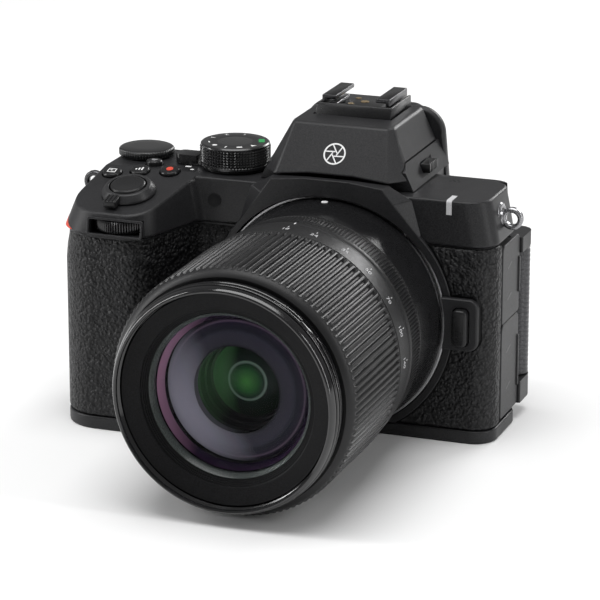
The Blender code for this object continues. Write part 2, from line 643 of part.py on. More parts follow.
def port_covers():
    front, back, thick = PORT_HINGE.y, 9.9, 1.5
    for name, low, high in (("port_cover_upper", 34.6, 58.6), ("port_cover_lower", 5.2, 34.2)):
        outline = rounded([(front, low, 1), (back, low, 1), (back, high, 2), (front, high, 2)], 2)
        hinge = (PORT_HINGE.x, PORT_HINGE.y, (low + high) / 2)
        slab(name, outline, PORT_HINGE.x - thick, PORT_HINGE.x, "rubber", "YZ", pivot=hinge)
    sockets = block("connector_block", (42.0, -6.0, 7.0), (48.0, 9.0, 57.0), "board")
    for k, (low, high) in enumerate(((11, 20), (24, 31), (38, 42.5), (46, 54))):
        cut(sockets, block(f"cut_socket_{k}", (43.0, -1.5, low), (50, 4.5, high)))


def monitor():
    pivot = MONITOR_AXIS + Vector((0, 0, 32))
    frame_corners = [(-28, 5, 3), (41.2, 5, 2), (41.2, 57, 2), (-28, 57, 3)]
    frame = slab("monitor_frame", rounded(frame_corners, 4), 12.2, 20.9, "shell", "XZ", pivot=pivot)
    soften(frame, 0.9)
    cut(frame, block("cut_screen_seat", (-25.2, 20.0, 8.2), (38.5, 25, 53.8)))
    block("monitor_screen", (-24.9, 20.3, 8.5), (38.2, 20.9, 53.5), "screen", pivot=pivot)
    axis_x, axis_y, _ = MONITOR_AXIS
    foot, head = (axis_x, axis_y, 12.2), (axis_x, axis_y, 52.1)
    barrel = rod("monitor_hinge", foot, head, 4.2, "shell", sides=32, pivot=pivot)
    join(barrel, block("add_hinge_arm", (41.5, 14.6, 14.0), (45.0, 19.6, 50.0)))


def inner_pieces():
    frame = block("chassis_frame", (-41.5, -10.6, 6.0), (40.0, -8.6, 58.0), "frame")
    cut(frame, across_lens("cut_frame_bore", 22.0, -15, -5))
    unit = block("shutter_unit", (-26, -8.2, AXIS_Z - 21), (26, -4.0, AXIS_Z + 21), "frame")
    cut(unit, block("cut_shutter_gate", (-12.5, -12, AXIS_Z - 8.5), (12.5, 0, AXIS_Z + 8.5)))
    block("image_sensor", (-18, 0.0, AXIS_Z - 14), (18, 2.6, AXIS_Z + 14), "glass")
    block("main_board", (-36, 5.0, 8.0), (40, 6.6, 58.0), "board")
    block("battery", (-72.0, -36.0, 2.4), (-55.2, -6.0, 51.0), "dial")


# ---------------------------------------------------------------- lens

def lens_ring(name, profile, finish, sides=48):
    """A piece turned about the optical axis, from (radius, y) points."""
    return turned(name, [(r, -y) for r, y in profile], (0, 0, AXIS_Z), (0, -1, 0), finish, sides)


def lens():
    front = LENS_FRONT
    lens_ring("mount_ring", [(27.5, -16.0), (35.3, -16.0), (35.6, -15.7), (35.6, -13.5), (29.1, -13.5),
                             (29.1, -11.3), (27.5, -11.3)], "steel")
    lens_ring("lens_mount_plate", [(24.5, -12.6), (27.1, -12.6), (27.1, -16.3), (33.0, -16.3), (33.0, -18.2),
                                   (24.5, -18.2)], "steel")
    lens_ring("lens_barrel", [(30.0, -18.5), (35.3, -18.5), (35.0, -22.8), (34.4, -36.6), (31.4, -36.9),
                              (31.4, -97.0), (30.0, -97.0)], "shell")
    lens_ring("control_ring", [(31.8, -37.2), (34.6, -37.2), (34.9, -38.0), (35.2, -47.4), (34.9, -48.4),
                               (31.8, -48.4)], "dial")
    lens_ring("zoom_ring", [(31.8, -48.8), (35.3, -48.8), (35.7, -52.0), (36.0, -59.0), (36.2, -60.0),
                            (36.2, -95.6), (35.3, -97.2), (33.7, -98.6), (33.4, -97.8), (31.8, -97.8)],
              "rubber")
    lens_ring("middle_barrel", [(28.1, -42.0), (29.7, -42.0), (29.7, -97.4), (28.1, -97.4)], "shell")
    lens_ring("front_barrel", [(26.0, -46.0), (27.8, -46.0), (27.8, -98.2), (32.8, -98.2), (32.8, -100.6),
                               (33.2, -101.0), (33.2, -102.8), (32.7, -104.6), (32.3, -105.5), (31.8, front),
                               (31.0, front), (31.0, -102.0), (26.0, -101.6)], "shell")
    lens_ring("name_bezel", [(25.0, -102.0), (25.6, -102.1), (30.7, -102.4), (30.7, -103.2), (25.6, -103.2),
                             (23.6, -101.0), (23.6, -100.4)], "dial")
    lens_ring("front_element", [(0, -93.0), (22.0, -93.0), (22.6, -95.5), (22.6, -97.6), (20.0, -98.5),
                                (14.0, -99.8), (7.0, -100.5), (0, -100.7)], "glass", 40)
    lens_ring("aperture_unit", [(9.0, -66.0), (24.5, -66.0), (24.5, -72.0), (9.0, -70.0)], "dial", 32)
    lens_ring("relay_lens_group", [(0, -24.0), (20.0, -24.5), (26.0, -24.0), (26.0, -32.0), (20.0, -34.0),
                                   (0, -36.0)], "glass", 32)


def build():
    pocket = release_pocket()
    base_plate()
    battery_door()
    front_cover(pocket)
    skins(pocket)
    rear_cover()
    top_cover()
    mount_surround(pocket)
    strap_lugs()
    flash_head()
    evf_housing()
    accessory_shoe()
    top_buttons()
    shutter_and_switch()
    dials()
    rear_controls()
    thumb_rest()
    port_covers()
    monitor()
    inner_pieces()
    lens()


clear_scene()
PARTS = collection("camera")
CUTTERS = collection("cutters", hidden=True)
build()
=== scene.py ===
"""Looks of an interchangeable-lens camera with a zoom lens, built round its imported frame.

Lengths are millimetres in the frame's own axes: +Z up, the lens points to -Y, the connector covers are at +X.
Meshes are scaled to metres by MM when they are placed.
"""
import json
import math

import bmesh
import bpy
from mathutils import Matrix, Vector


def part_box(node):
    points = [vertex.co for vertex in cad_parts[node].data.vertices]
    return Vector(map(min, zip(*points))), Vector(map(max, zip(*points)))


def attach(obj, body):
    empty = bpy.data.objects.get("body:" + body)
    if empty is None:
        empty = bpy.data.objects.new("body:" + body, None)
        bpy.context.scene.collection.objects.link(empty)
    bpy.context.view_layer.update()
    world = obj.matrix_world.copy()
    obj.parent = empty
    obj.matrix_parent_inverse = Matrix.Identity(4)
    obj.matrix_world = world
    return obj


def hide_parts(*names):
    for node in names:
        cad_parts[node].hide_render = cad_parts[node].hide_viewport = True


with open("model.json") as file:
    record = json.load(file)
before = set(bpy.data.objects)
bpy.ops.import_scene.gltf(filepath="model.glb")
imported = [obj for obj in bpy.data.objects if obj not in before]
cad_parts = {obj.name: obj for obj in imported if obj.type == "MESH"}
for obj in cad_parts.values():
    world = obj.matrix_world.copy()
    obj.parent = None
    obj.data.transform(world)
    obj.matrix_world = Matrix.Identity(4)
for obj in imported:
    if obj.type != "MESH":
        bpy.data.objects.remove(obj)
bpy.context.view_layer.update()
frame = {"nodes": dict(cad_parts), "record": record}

MM = 0.001
RECORD = frame["record"]
BODY_OF = {node: body for body, nodes in RECORD["behaviour"]["bodies"].items() for node in nodes}

UP, LEFT, FRONT, BACK = (Vector(v) for v in ((0, 0, 1), (-1, 0, 0), (0, -1, 0), (0, 1, 0)))


def span(node):
    """A node's lowest and highest corners in millimetres."""
    low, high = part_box(node)
    return Vector(low) / MM, Vector(high) / MM


def middle(node):
    low, high = span(node)
    return (low + high) / 2


AXIS_Z = middle("zoom_ring").z
LENS_CENTRE = Vector((0, 0, AXIS_Z))
BASE_TOP = span("base_plate")[1].z
BODY_RIGHT, BODY_LEFT, BODY_FRONT, BODY_BACK, GRIP_FRONT = 50.0, -78.0, -17.0, 11.5, -42.5
DECK_Z = 74.0
SLOPE_Y, SLOPE = -13.0, 0.25  # where the grip's top starts to fall, and its fall per millimetre
SLOPE_NORMAL = Vector((0, -SLOPE, 1)).normalized()
HUMP_FOOT, HUMP_LEAN = 24.0, 0.47  # the hump's half width on the deck, and its loss per millimetre of height
GAP = 0.3  # between neighbouring pieces of the body
MOUNT_BORE, SKIN_BORE = 36.1, 38.8  # radii kept free round the optical axis
RELEASE_LOW, RELEASE_HIGH = (38.6, 31), (43.8, 42.8)  # the lens release's opening, in x and z
DIAL_CENTRE = Vector((-35.5, -3.0, DECK_Z))  # the mode dial's foot, where its lever turns too
SOFT_RIB = (0.0, 0.7, 1.0, 0.7)
MERGE = 1e-4  # points closer than this are one
PRINT = 0.06  # thickness of printed marks
TO_METRES = Matrix.Diagonal((MM, MM, MM, 1))


# ---------------------------------------------------------------- materials

class Shader:
    """A Principled material and the few node helpers that the looks below share."""

    def __init__(self, name, colour, roughness, **sockets):
        self.material = bpy.data.materials.new(name)
        self.material.use_nodes = True
        self.nodes, self.links = self.material.node_tree.nodes, self.material.node_tree.links
        self.principled = self.nodes["Principled BSDF"]
        self.principled.inputs["Base Color"].default_value = (*colour, 1.0)
        self.principled.inputs["Roughness"].default_value = roughness
        for key, value in sockets.items():
            self.principled.inputs[key.replace("_", " ")].default_value = value
        self.place = self.nodes.new("ShaderNodeTexCoord").outputs["Object"]

    def add(self, kind, vector=None, **values):
        """A new node, with values set on its sockets and a vector linked in."""
        node = self.nodes.new("ShaderNode" + kind)
        for key, value in values.items():
            node.inputs[key.replace("_", " ")].default_value = value
        if vector:
            self.links.new(vector, node.inputs["Vector"])
        return node

    def stretched(self, scale):
        """The object's coordinates, scaled by a vector."""
        return self.add("Mapping", self.place, Scale=scale).outputs["Vector"]

    def noise(self, size, detail=2.0, vector=None, output="Fac"):
        """Noise with features of this size in millimetres."""
        node = self.add("TexNoise", vector or self.place, Scale=1 / (size * MM), Detail=detail)
        return node.outputs[output]

    def cells(self, size, vector):
        """Soft cells of this size in millimetres."""
        node = self.add("TexVoronoi", vector, Scale=1 / (size * MM))
        node.feature = "SMOOTH_F1"
        return node.outputs["Distance"]

    def ramp(self, factor, stops):
        """A factor turned into colours by (position, colour) stops."""
        node = self.nodes.new("ShaderNodeValToRGB")
        elements = node.color_ramp.elements
        while len(elements) < len(stops):
            elements.new(0.5)
        for element, (position, colour) in zip(elements, stops):
            element.position = position
            element.color = (*colour, 1.0)
        self.links.new(factor, node.inputs["Fac"])
        return node.outputs["Color"]

    def mapped(self, factor, low, high, start=0.35, end=0.65):
        """A factor's range from start to end, carried to low to high."""
        node = self.add("MapRange", From_Min=start, From_Max=end, To_Min=low, To_Max=high)
        self.links.new(factor, node.inputs["Value"])
        return node.outputs["Result"]

    def math(self, operation, first, second):
        node = self.nodes.new("ShaderNodeMath")
        node.operation = operation
        for socket, value in zip(node.inputs, (first, second)):
            if isinstance(value, (int, float)):
                socket.default_value = value
            else:
                self.links.new(value, socket)
        return node.outputs["Value"]

    def link(self, output, socket):
        self.links.new(output, self.principled.inputs[socket])

    def bump(self, height, depth):
        """A bump of this depth in millimetres, over any bump set before."""
        node = self.add("Bump", Distance=depth * MM, Strength=1.0)
        self.links.new(height, node.inputs["Height"])
        normal = self.principled.inputs["Normal"]
        if normal.is_linked:
            self.links.new(normal.links[0].from_socket, node.inputs["Normal"])
        self.link(node.outputs["Normal"], "Normal")


def paint(name, shade, roughness, grain=0.28, depth=0.03, level=0.3):
    """Satin black paint or moulded plastic with a fine speckle."""
    look = Shader(name, shade, roughness, Specular_IOR_Level=level)
    speck = look.noise(grain, 3.0)
    worn = look.math("ADD", speck, look.noise(14.0))
    dark, light = [tuple(c * k for c in shade) for k in (0.6, 1.9)]
    look.link(look.ramp(speck, [(0.35, dark), (0.68, light)]), "Base Color")
    look.link(look.mapped(worn, roughness - 0.06, roughness + 0.08, 0.8, 1.2), "Roughness")
    look.bump(speck, depth)
    return look.material


def leatherette():
    """Black pebbled covering: wrinkled cells over a fine grain, with painted shade in the creases between the
    cells.
    """
    look = Shader("pebbled_leatherette", (0.01, 0.01, 0.0105), 0.5, Specular_IOR_Level=0.3)
    warp = look.nodes.new("ShaderNodeVectorMath")
    warp.operation = "MULTIPLY_ADD"
    look.links.new(look.noise(1.6, output="Color"), warp.inputs[0])
    warp.inputs[1].default_value = (0.9 * MM,) * 3
    look.links.new(look.place, warp.inputs[2])
    pebbles = look.cells(0.85, warp.outputs["Vector"])
    creases = look.cells(1.6, warp.outputs["Vector"])
    grain = look.noise(0.35, 3.0)
    height = look.math("ADD", pebbles, look.math("MULTIPLY", creases, 0.7))
    # Painted shade: the colour darkens with the height that the bump lowers, so the creases between the
    # pebbles are darker.
    shades = [(0.15, (0.026, 0.026, 0.027)), (0.85, (0.002, 0.002, 0.0025))]
    look.link(look.ramp(height, shades), "Base Color")
    look.link(look.mapped(grain, 0.34, 0.58), "Roughness")
    look.bump(grain, 0.05)
    look.bump(look.math("MULTIPLY", height, -1.0), 0.55)
    return look.material


def rubber(name, shade, roughness):
    """Rubber with a fine grain and a little dust."""
    look = Shader(name, shade, roughness, Specular_IOR_Level=0.3)
    grain = look.noise(0.22, 3.0)
    dust = look.noise(6.0, 4.0)
    look.link(look.ramp(dust, [(0.3, shade), (0.75, tuple(c * 1.35 for c in shade))]), "Base Color")
    look.link(look.mapped(grain, roughness - 0.07, roughness + 0.08), "Roughness")
    look.bump(grain, 0.010)
    return look.material


def metal(name, shade, roughness, brushed=(1, 1, 1)):
    """Metal with streaks along the axes that are scaled least."""
    look = Shader(name, shade, roughness, Metallic=1.0)
    streaks = look.noise(0.5, 4.0, look.stretched(brushed))
    look.link(look.ramp(streaks, [(0.3, tuple(c * 0.86 for c in shade)), (0.7, shade)]), "Base Color")
    look.link(look.mapped(streaks, roughness - 0.05, roughness + 0.07), "Roughness")
    return look.material


def ink(name, shade):
    """Printed marks, slightly uneven."""
    look = Shader(name, shade, 0.5)
    look.link(look.ramp(look.noise(0.3), [(0.3, tuple(c * 0.85 for c in shade)), (0.6, shade)]), "Base Color")
    return look.material


def clear_glass(name, tint, index, roughness=0.0):
    """Glass whose low index stands for its antireflection coating."""
    return Shader(name, tint, roughness, IOR=index, Transmission_Weight=1.0).material


def painted_reflection_surface(name, radius, stops, side, gloss):
    """An inner glass surface with painted reflections: rings of colour by the distance from the optical axis,
    and a painted highlight towards one side.

    side holds the painted highlight's weights of x and z, where along them it starts and is full, and its
    colour.
    """
    look = Shader(name, (0.02, 0.02, 0.02), gloss, Specular_IOR_Level=0.08)
    scale = 1 / (radius * MM)
    mapping = look.add("Mapping", look.place, Location=(0, 0, -AXIS_Z / radius), Scale=(scale, 0, scale))
    flat = mapping.outputs["Vector"]
    length = look.nodes.new("ShaderNodeVectorMath")
    length.operation = "LENGTH"
    look.links.new(flat, length.inputs[0])
    weight_x, weight_z, start, full, tint = side
    parts = look.add("SeparateXYZ", flat)
    lean = look.math("SUBTRACT", look.math("MULTIPLY", parts.outputs["Z"], weight_z),
                     look.math("MULTIPLY", parts.outputs["X"], weight_x))
    mix = look.nodes.new("ShaderNodeMix")
    mix.data_type = "RGBA"
    look.links.new(look.mapped(lean, 0.0, 1.0, start, full), mix.inputs["Factor"])
    look.links.new(look.ramp(length.outputs["Value"], stops), mix.inputs["A"])
    mix.inputs["B"].default_value = (*tint, 1.0)
    look.link(mix.outputs["Result"], "Base Color")
    return look.material


def screen_glass(name):
    """Dark glass over a display, with a faint unevenness."""
    look = Shader(name, (0.006, 0.006, 0.008), 0.05, Coat_Weight=1.0)
    haze = look.noise(9.0, 3.0)
    look.link(look.mapped(haze, 0.04, 0.09), "Roughness")
    look.link(look.ramp(haze, [(0.3, (0.005, 0.005, 0.007)), (0.7, (0.008, 0.008, 0.010))]), "Base Color")
    return look.material


def dial_top():
    """Satin black with fine turned circles about the dial's own centre."""
    look = Shader("dial_face", (0.012, 0.012, 0.013), 0.34, Specular_IOR_Level=0.3)
    about_dial = look.add("Mapping", look.place, Location=tuple(-middle("mode_dial") * MM)).outputs["Vector"]
    rings = look.add("TexWave", about_dial, Scale=700, Distortion=0.4)
    rings.wave_type = "RINGS"
    rings.rings_direction = "Z"
    look.link(look.mapped(rings.outputs["Fac"], 0.3, 0.44, 0.0, 1.0), "Roughness")
    shades = [(0.3, (0.008, 0.008, 0.009)), (0.7, (0.017, 0.017, 0.018))]
    look.link(look.ramp(look.noise(0.4), shades), "Base Color")
    look.bump(rings.outputs["Fac"], 0.006)
    return look.material


PAINT = paint("satin_black_paint", (0.013, 0.013, 0.014), 0.40)
FINE = paint("fine_black_plastic", (0.009, 0.009, 0.0095), 0.30, 0.16, 0.006)
GLOSS = paint("glossy_black_edges", (0.008, 0.008, 0.0085), 0.20, 0.16, 0.003, 0.6)
LENS_PAINT = paint("lens_barrel_black", (0.007, 0.007, 0.0075), 0.24, 0.20, 0.004)
RIM_PAINT = paint("front_rim_black", (0.005, 0.005, 0.0055), 0.13, 0.20, 0.002, 0.7)
MATTE = paint("matte_baffle_black", (0.005, 0.005, 0.0055), 0.6, 0.3, 0.008)
LEATHER = leatherette()
RUBBER = rubber("ribbed_ring_rubber", (0.009, 0.009, 0.0095), 0.42)
SOFT = rubber("soft_cover_rubber", (0.020, 0.020, 0.021), 0.46)
STEEL = metal("brushed_steel", (0.46, 0.46, 0.47), 0.30, (1, 30, 1))
DARK_STEEL = metal("blackened_steel", (0.075, 0.075, 0.078), 0.30, (1, 20, 1))
RING_STEEL = metal("turned_mount_ring", (0.50, 0.50, 0.51), 0.34)
LUG_STEEL = metal("strap_lug_steel", (0.32, 0.32, 0.33), 0.25)
WHITE = ink("white_print", (0.80, 0.80, 0.80))
PALE = ink("pale_print", (0.52, 0.52, 0.53))
GREY = ink("grey_print", (0.36, 0.36, 0.37))
GREEN = ink("green_print", (0.02, 0.30, 0.08))
PRINTED = ink("moulded_sign_grey", (0.10, 0.10, 0.10))
RED = ink("red_print", (0.62, 0.06, 0.03))
BOARD = paint("circuit_board", (0.02, 0.09, 0.05), 0.5)
SCREEN = screen_glass("screen_glass")
DIAL_TOP = dial_top()


# ---------------------------------------------------------------- meshes

def inset(corners, distance):
    """The corners (x, y, radius) of a counter-clockwise outline moved inwards, their arcs kept concentric."""
    made = []
    for i, (x, y, radius) in enumerate(corners):
        before, here = Vector(corners[i - 1][:2]), Vector((x, y))
        after = Vector(corners[(i + 1) % len(corners)][:2])
        into, out = (here - before).normalized(), (after - here).normalized()
        normal_in, normal_out = Vector((-into.y, into.x)), Vector((-out.y, out.x))
        bend = into.x * out.y - into.y * out.x
        moved_to = here + (normal_in + normal_out) * distance / (1 + normal_in.dot(normal_out))
        made.append((moved_to.x, moved_to.y, max(0.2, radius - distance * (1 if bend > 0 else -1))))
    return made


def rounded(corners, steps=10):
    """The points of an outline whose corners (x, y, radius) are rounded by arcs."""
    points = []
    for i, (x, y, radius) in enumerate(corners):
        here = Vector((x, y))
        back = (Vector(corners[i - 1][:2]) - here).normalized()
        ahead = (Vector(corners[(i + 1) % len(corners)][:2]) - here).normalized()
        half = back.angle(ahead) / 2
        centre = here + (back + ahead).normalized() * radius / math.sin(half)
        start = here + back * radius / math.tan(half) - centre
        sweep = math.pi - 2 * half
        if back.x * ahead.y - back.y * ahead.x > 0:
            sweep = -sweep
        points.extend(centre + Matrix.Rotation(sweep * k / steps, 2) @ start for k in range(steps + 1))
    return points


def rectangle(low, high, radius, steps=8):
    """The points of a rounded rectangle between two corners; radius is one number, or one for each corner."""
    (x0, y0), (x1, y1) = low, high
    a, b, c, d = radius if isinstance(radius, tuple) else (radius,) * 4
    return rounded([(x0, y0, a), (x1, y0, b), (x1, y1, c), (x0, y1, d)], steps)


PLANES = {
    "XY": lambda a, b, c: (a, b, c),
    "XZ": lambda a, b, c: (a, c, b),
    "YZ": lambda a, b, c: (c, a, b),
}


def prism(outline, low, high, plane="XY"):
    """A flat outline's solid, from low to high across its plane."""
    return loft([[PLANES[plane](p[0], p[1], at) for p in outline] for at in (low, high)])


def loft(rings):
    """A solid through rings of equally many points, capped at both ends."""
    bm = bmesh.new()
    rows = [[bm.verts.new(p) for p in ring] for ring in rings]
    for lower, upper in zip(rows, rows[1:]):
        for i in range(len(lower)):
            k = (i + 1) % len(lower)
            bm.faces.new((lower[i], lower[k], upper[k], upper[i]))
    bm.faces.new(rows[0])
    bm.faces.new(rows[-1])
    return bm


def box(low, high, turn=None):
    """A box between two corners, turned about its middle."""
    low, high = Vector(low), Vector(high)
    place = Matrix.Translation((low + high) / 2) @ (turn or Matrix.Identity(4))
    bm = bmesh.new()
    bmesh.ops.create_cube(bm, size=1.0, matrix=place @ Matrix.Diagonal((*(high - low), 1)))
    return bm


def aim(axis, centre=(0, 0, 0)):
    """The matrix that carries +Z onto an axis and the origin to a centre."""
    return Matrix.Translation(Vector(centre)) @ UP.rotation_difference(Vector(axis)).to_matrix().to_4x4()


def moved(solid, matrix):
    """Moves a solid by a matrix."""
    bmesh.ops.transform(solid, matrix=matrix, verts=solid.verts)
    return solid


def lathe(profile, centre, axis, steps):
    """A closed profile of (radius, distance along the axis), turned about the axis through centre."""
    bm = bmesh.new()
    corners = [bm.verts.new((radius, 0, along)) for radius, along in profile]
    pairs = zip(corners, corners[1:] + corners[:1])
    edges = [bm.edges.new(pair) for pair in pairs if pair[0].co.x + pair[1].co.x > 0]
    bmesh.ops.spin(bm, geom=corners + edges, cent=(0, 0, 0), axis=(0, 0, 1), angle=math.tau, steps=steps)
    bmesh.ops.remove_doubles(bm, verts=bm.verts, dist=MERGE)
    return moved(bm, aim(axis, centre))


def skinned(bm, grid, closed):
    """Joins columns of vertices, the last one to the first; closed also joins each column's ends."""
    count = len(grid[0])
    for here, there in zip(grid, grid[1:] + grid[:1]):
        for i in range(count if closed else count - 1):
            k = (i + 1) % count
            bm.faces.new((here[i], there[i], there[k], here[k]))


def ribbed(profile, ribs, depth, shape, matrix, closed=False):
    """A turned solid whose (radius, along, weight) profile is cut into ribs where its weight is not 0.

    shape holds the heights, from 0 to 1, of the points across one rib. The axis runs along the matrix's z.
    """
    columns = ribs * len(shape)
    bm = bmesh.new()
    grid = []
    for j in range(columns):
        angle = math.tau * j / columns
        low = depth * (1 - shape[j % len(shape)])
        grid.append([bm.verts.new(((r - low * w) * math.cos(angle), (r - low * w) * math.sin(angle), along))
                     for r, along, w in profile])
    skinned(bm, grid, closed)
    if not closed:
        bmesh.ops.remove_doubles(bm, verts=bm.verts, dist=MERGE)
    return moved(bm, matrix)


def softened(profile, radius):
    """A closed profile with small arcs in place of its sharp corners."""
    steps, nothing, straight = 3, 1e-6, math.radians(165)
    made = []
    for i, (x, y) in enumerate(profile):
        here = Vector((x, y))
        back, ahead = Vector(profile[i - 1]) - here, Vector(profile[(i + 1) % len(profile)]) - here
        if x < nothing or min(back.length, ahead.length) < nothing or back.angle(ahead) > straight:
            made.append((x, y))
            continue
        reach = min(radius, back.length * 0.4, ahead.length * 0.4)
        start, end = here + back.normalized() * reach, here + ahead.normalized() * reach
        for k in range(steps + 1):
            t = k / steps
            point = start * (1 - t) ** 2 + here * 2 * t * (1 - t) + end * t ** 2
            made.append((point.x, point.y))
    return made


def as_object(name, bm, material=None):
    bmesh.ops.recalc_face_normals(bm, faces=bm.faces)
    bmesh.ops.scale(bm, vec=(MM, MM, MM), verts=bm.verts)
    mesh = bpy.data.meshes.new(name)
    bm.to_mesh(mesh)
    bm.free()
    obj = bpy.data.objects.new(name, mesh)
    bpy.context.scene.collection.objects.link(obj)
    if material:
        mesh.materials.append(material)
    return obj


def baked(obj):
    """Applies an object's modifiers."""
    graph = bpy.context.evaluated_depsgraph_get()
    mesh = bpy.data.meshes.new_from_object(obj.evaluated_get(graph))
    obj.modifiers.clear()
    obj.data = mesh
    return obj


def combined(obj, tools, operation="DIFFERENCE"):
    """Cuts or joins solids, which are then thrown away."""
    made = [as_object(f"tool_{k}", bm) for k, bm in enumerate(tools)]
    for tool in made:
        modifier = obj.modifiers.new("boolean", "BOOLEAN")
        modifier.operation = operation
        modifier.object = tool
    baked(obj)
    for tool in made:
        bpy.data.objects.remove(tool)
    return obj


def bevelled(obj, width, segments=3, angle=32, chosen=None):
    """Cleans flat areas and rounds the sharp edges, or those chosen by their middle; the flats stay flat."""
    bm = bmesh.new()
    bm.from_mesh(obj.data)
    bmesh.ops.remove_doubles(bm, verts=bm.verts, dist=0.004 * MM)
    bmesh.ops.dissolve_limit(bm, angle_limit=math.radians(0.6), verts=bm.verts, edges=bm.edges)
    if chosen:
        weight = bm.edges.layers.float.new("bevel_weight_edge")
        for edge in bm.edges:
            spot = (edge.verts[0].co + edge.verts[1].co) / 2 / MM
            edge[weight] = 1.0 if edge.calc_face_angle(0.0) > math.radians(angle) and chosen(spot) else 0.0
    bm.to_mesh(obj.data)
    bm.free()
    bevel = obj.modifiers.new("bevel", "BEVEL")
    bevel.width = width * MM
    bevel.segments = segments
    bevel.limit_method = "WEIGHT" if chosen else "ANGLE"
    bevel.angle_limit = math.radians(angle)
    bevel.use_clamp_overlap = not chosen
    bevel.harden_normals = True
    obj.data.shade_smooth()
    return baked(obj)


def smooth(obj, angle=35):
    obj.data.shade_smooth()
    obj.data.set_sharp_from_angle(angle=math.radians(angle))
    return obj


def levelled(obj):
    """Weights a cut piece's normals by area, so that its flats stay flat beside its rounded edges."""
    weighted = obj.modifiers.new("levelled", "WEIGHTED_NORMAL")
    weighted.keep_sharp = True
    weighted.weight = 90
    return baked(obj)


def fit(obj, node, replaces=True):
    """The piece rides with a node's body; it stands for the node unless told otherwise."""
    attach(obj, BODY_OF[node])
    if replaces:
        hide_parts(node)
    return obj


def piece(name, solid, material, node, replaces=True, sharp=35, bevel=0.0, segments=3):
    """A solid made an object with rounded edges and smooth shading, and fitted to its node."""
    obj = as_object(name, solid, material)
    if bevel:
        bevelled(obj, bevel, segments)
    return fit(smooth(obj, sharp), node, replaces)


def sign(name, solid, material, node):
    """A flat-shaded extra on a node: a printed mark or another small part."""
    return fit(as_object(name, solid, material), node, replaces=False)


def turned(name, node, profile, centre, axis, material, replaces=True, soft=0.15, steps=48, sharp=35):
    """A piece turned about an axis through centre from (radius, along) points with softened corners."""
    if soft:
        profile = softened(profile, soft)
    return piece(name, lathe(profile, centre, axis, steps), material, node, replaces, sharp)


def lens_lathe(name, node, profile, material, replaces=True, soft=0.05):
    """A piece turned about the optical axis from (radius, y) points."""
    profile = [(r, -y) for r, y in profile]
    return turned(name, node, profile, LENS_CENTRE, FRONT, material, replaces, soft, 144)


def carried(node, material, width=0.0):
    """Keeps a CAD node's mesh, with a material and rounded edges."""
    obj = frame["nodes"][node]
    obj.data.materials.clear()
    obj.data.materials.append(material)
    for polygon in obj.data.polygons:
        polygon.material_index = 0
    if width:
        flat = obj.modifiers.new("flat", "DECIMATE")
        flat.decimate_type = "DISSOLVE"
        flat.angle_limit = math.radians(1)
        bevel = obj.modifiers.new("bevel", "BEVEL")
        bevel.width = width * MM
        bevel.segments = 2
        bevel.limit_method = "ANGLE"
        bevel.angle_limit = math.radians(35)
        bevel.harden_normals = True
    return smooth(obj)


def figures(text, size, depth):
    """Generic figures as a thin solid about the XY plane."""
    curve = bpy.data.curves.new("figures", "FONT")
    curve.body = text
    curve.size = size
    curve.align_x = "CENTER"
    curve.align_y = "CENTER"
    curve.extrude = depth / 2
    guide = bpy.data.objects.new("figures", curve)
    bpy.context.scene.collection.objects.link(guide)
    drawn = guide.evaluated_get(bpy.context.evaluated_depsgraph_get())
    solid = bmesh.new()
    solid.from_mesh(bpy.data.meshes.new_from_object(drawn))
    bpy.data.objects.remove(guide)
    return solid


def plate(outline, depth, cuts=0):
    """A flat outline as a thin solid about the XY plane, subdivided where it will be bent."""
    solid = prism(outline, -depth / 2, depth / 2)
    if cuts:
        bmesh.ops.subdivide_edges(solid, edges=solid.edges, cuts=cuts, use_grid_fill=True)
    return solid


def mark(name, outline, matrix, material, node, depth=PRINT):
    """A printed shape, laid on a surface by a matrix whose +Z leaves the surface."""
    return sign(name, moved(plate(outline, depth), matrix), material, node)


def framed_mark(name, outer, inner, matrix, node, depth):
    """A printed outline with a hole in it, laid on a surface like a mark."""
    frame_sign = as_object(name, plate(outer, depth), WHITE)
    combined(frame_sign, [prism(inner, -1, 1)])
    frame_sign.data.transform(TO_METRES @ matrix @ TO_METRES.inverted())
    return fit(frame_sign, node, replaces=False)


def disc(radius, centre=(0, 0), steps=24):
    x, y = centre
    turns = [math.tau * k / steps for k in range(steps)]
    return [(x + radius * math.cos(turn), y + radius * math.sin(turn)) for turn in turns]


def bar(width, height, centre=(0, 0)):
    (x, y), half_x, half_y = centre, width / 2, height / 2
    return [(x + a * half_x, y + b * half_y) for a, b in ((-1, -1), (1, -1), (1, 1), (-1, 1))]


# ---------------------------------------------------------------- lens


def zoom_ring():
    """The rubber grip with axial ribs, and the smooth collar behind it that carries the focal lengths."""
    rear, ribs_rear, ribs_front, front = 48.8, 60.6, 95.2, 97.7
    profile = [(31.8, rear, 0), (35.1, rear, 0), (35.4, rear + 0.3, 0), (35.6, 50.6, 0), (35.9, 57.5, 0),
               (36.0, 59.0, 0), (35.75, 59.2, 0), (35.75, 59.6, 0), (36.05, 59.8, 0), (36.15, 60.1, 0.2),
               (36.2, ribs_rear, 1), (36.2, ribs_front, 1), (36.1, 95.5, 0.9), (35.85, 96.0, 0.35),
               (35.6, 96.5, 0), (35.2, 97.2, 0), (33.8, 98.45, 0), (33.6, 98.5, 0), (33.4, front, 0),
               (31.8, front, 0)]
    shape = (0.0, 0.0, 0.15, 0.9, 1.0, 1.0, 0.9, 0.15)
    ribs = ribbed(profile, 108, 0.95, shape, aim(FRONT, LENS_CENTRE), closed=True)
    piece("zoom_grip_ribs", ribs, RUBBER, "zoom_ring", sharp=40)


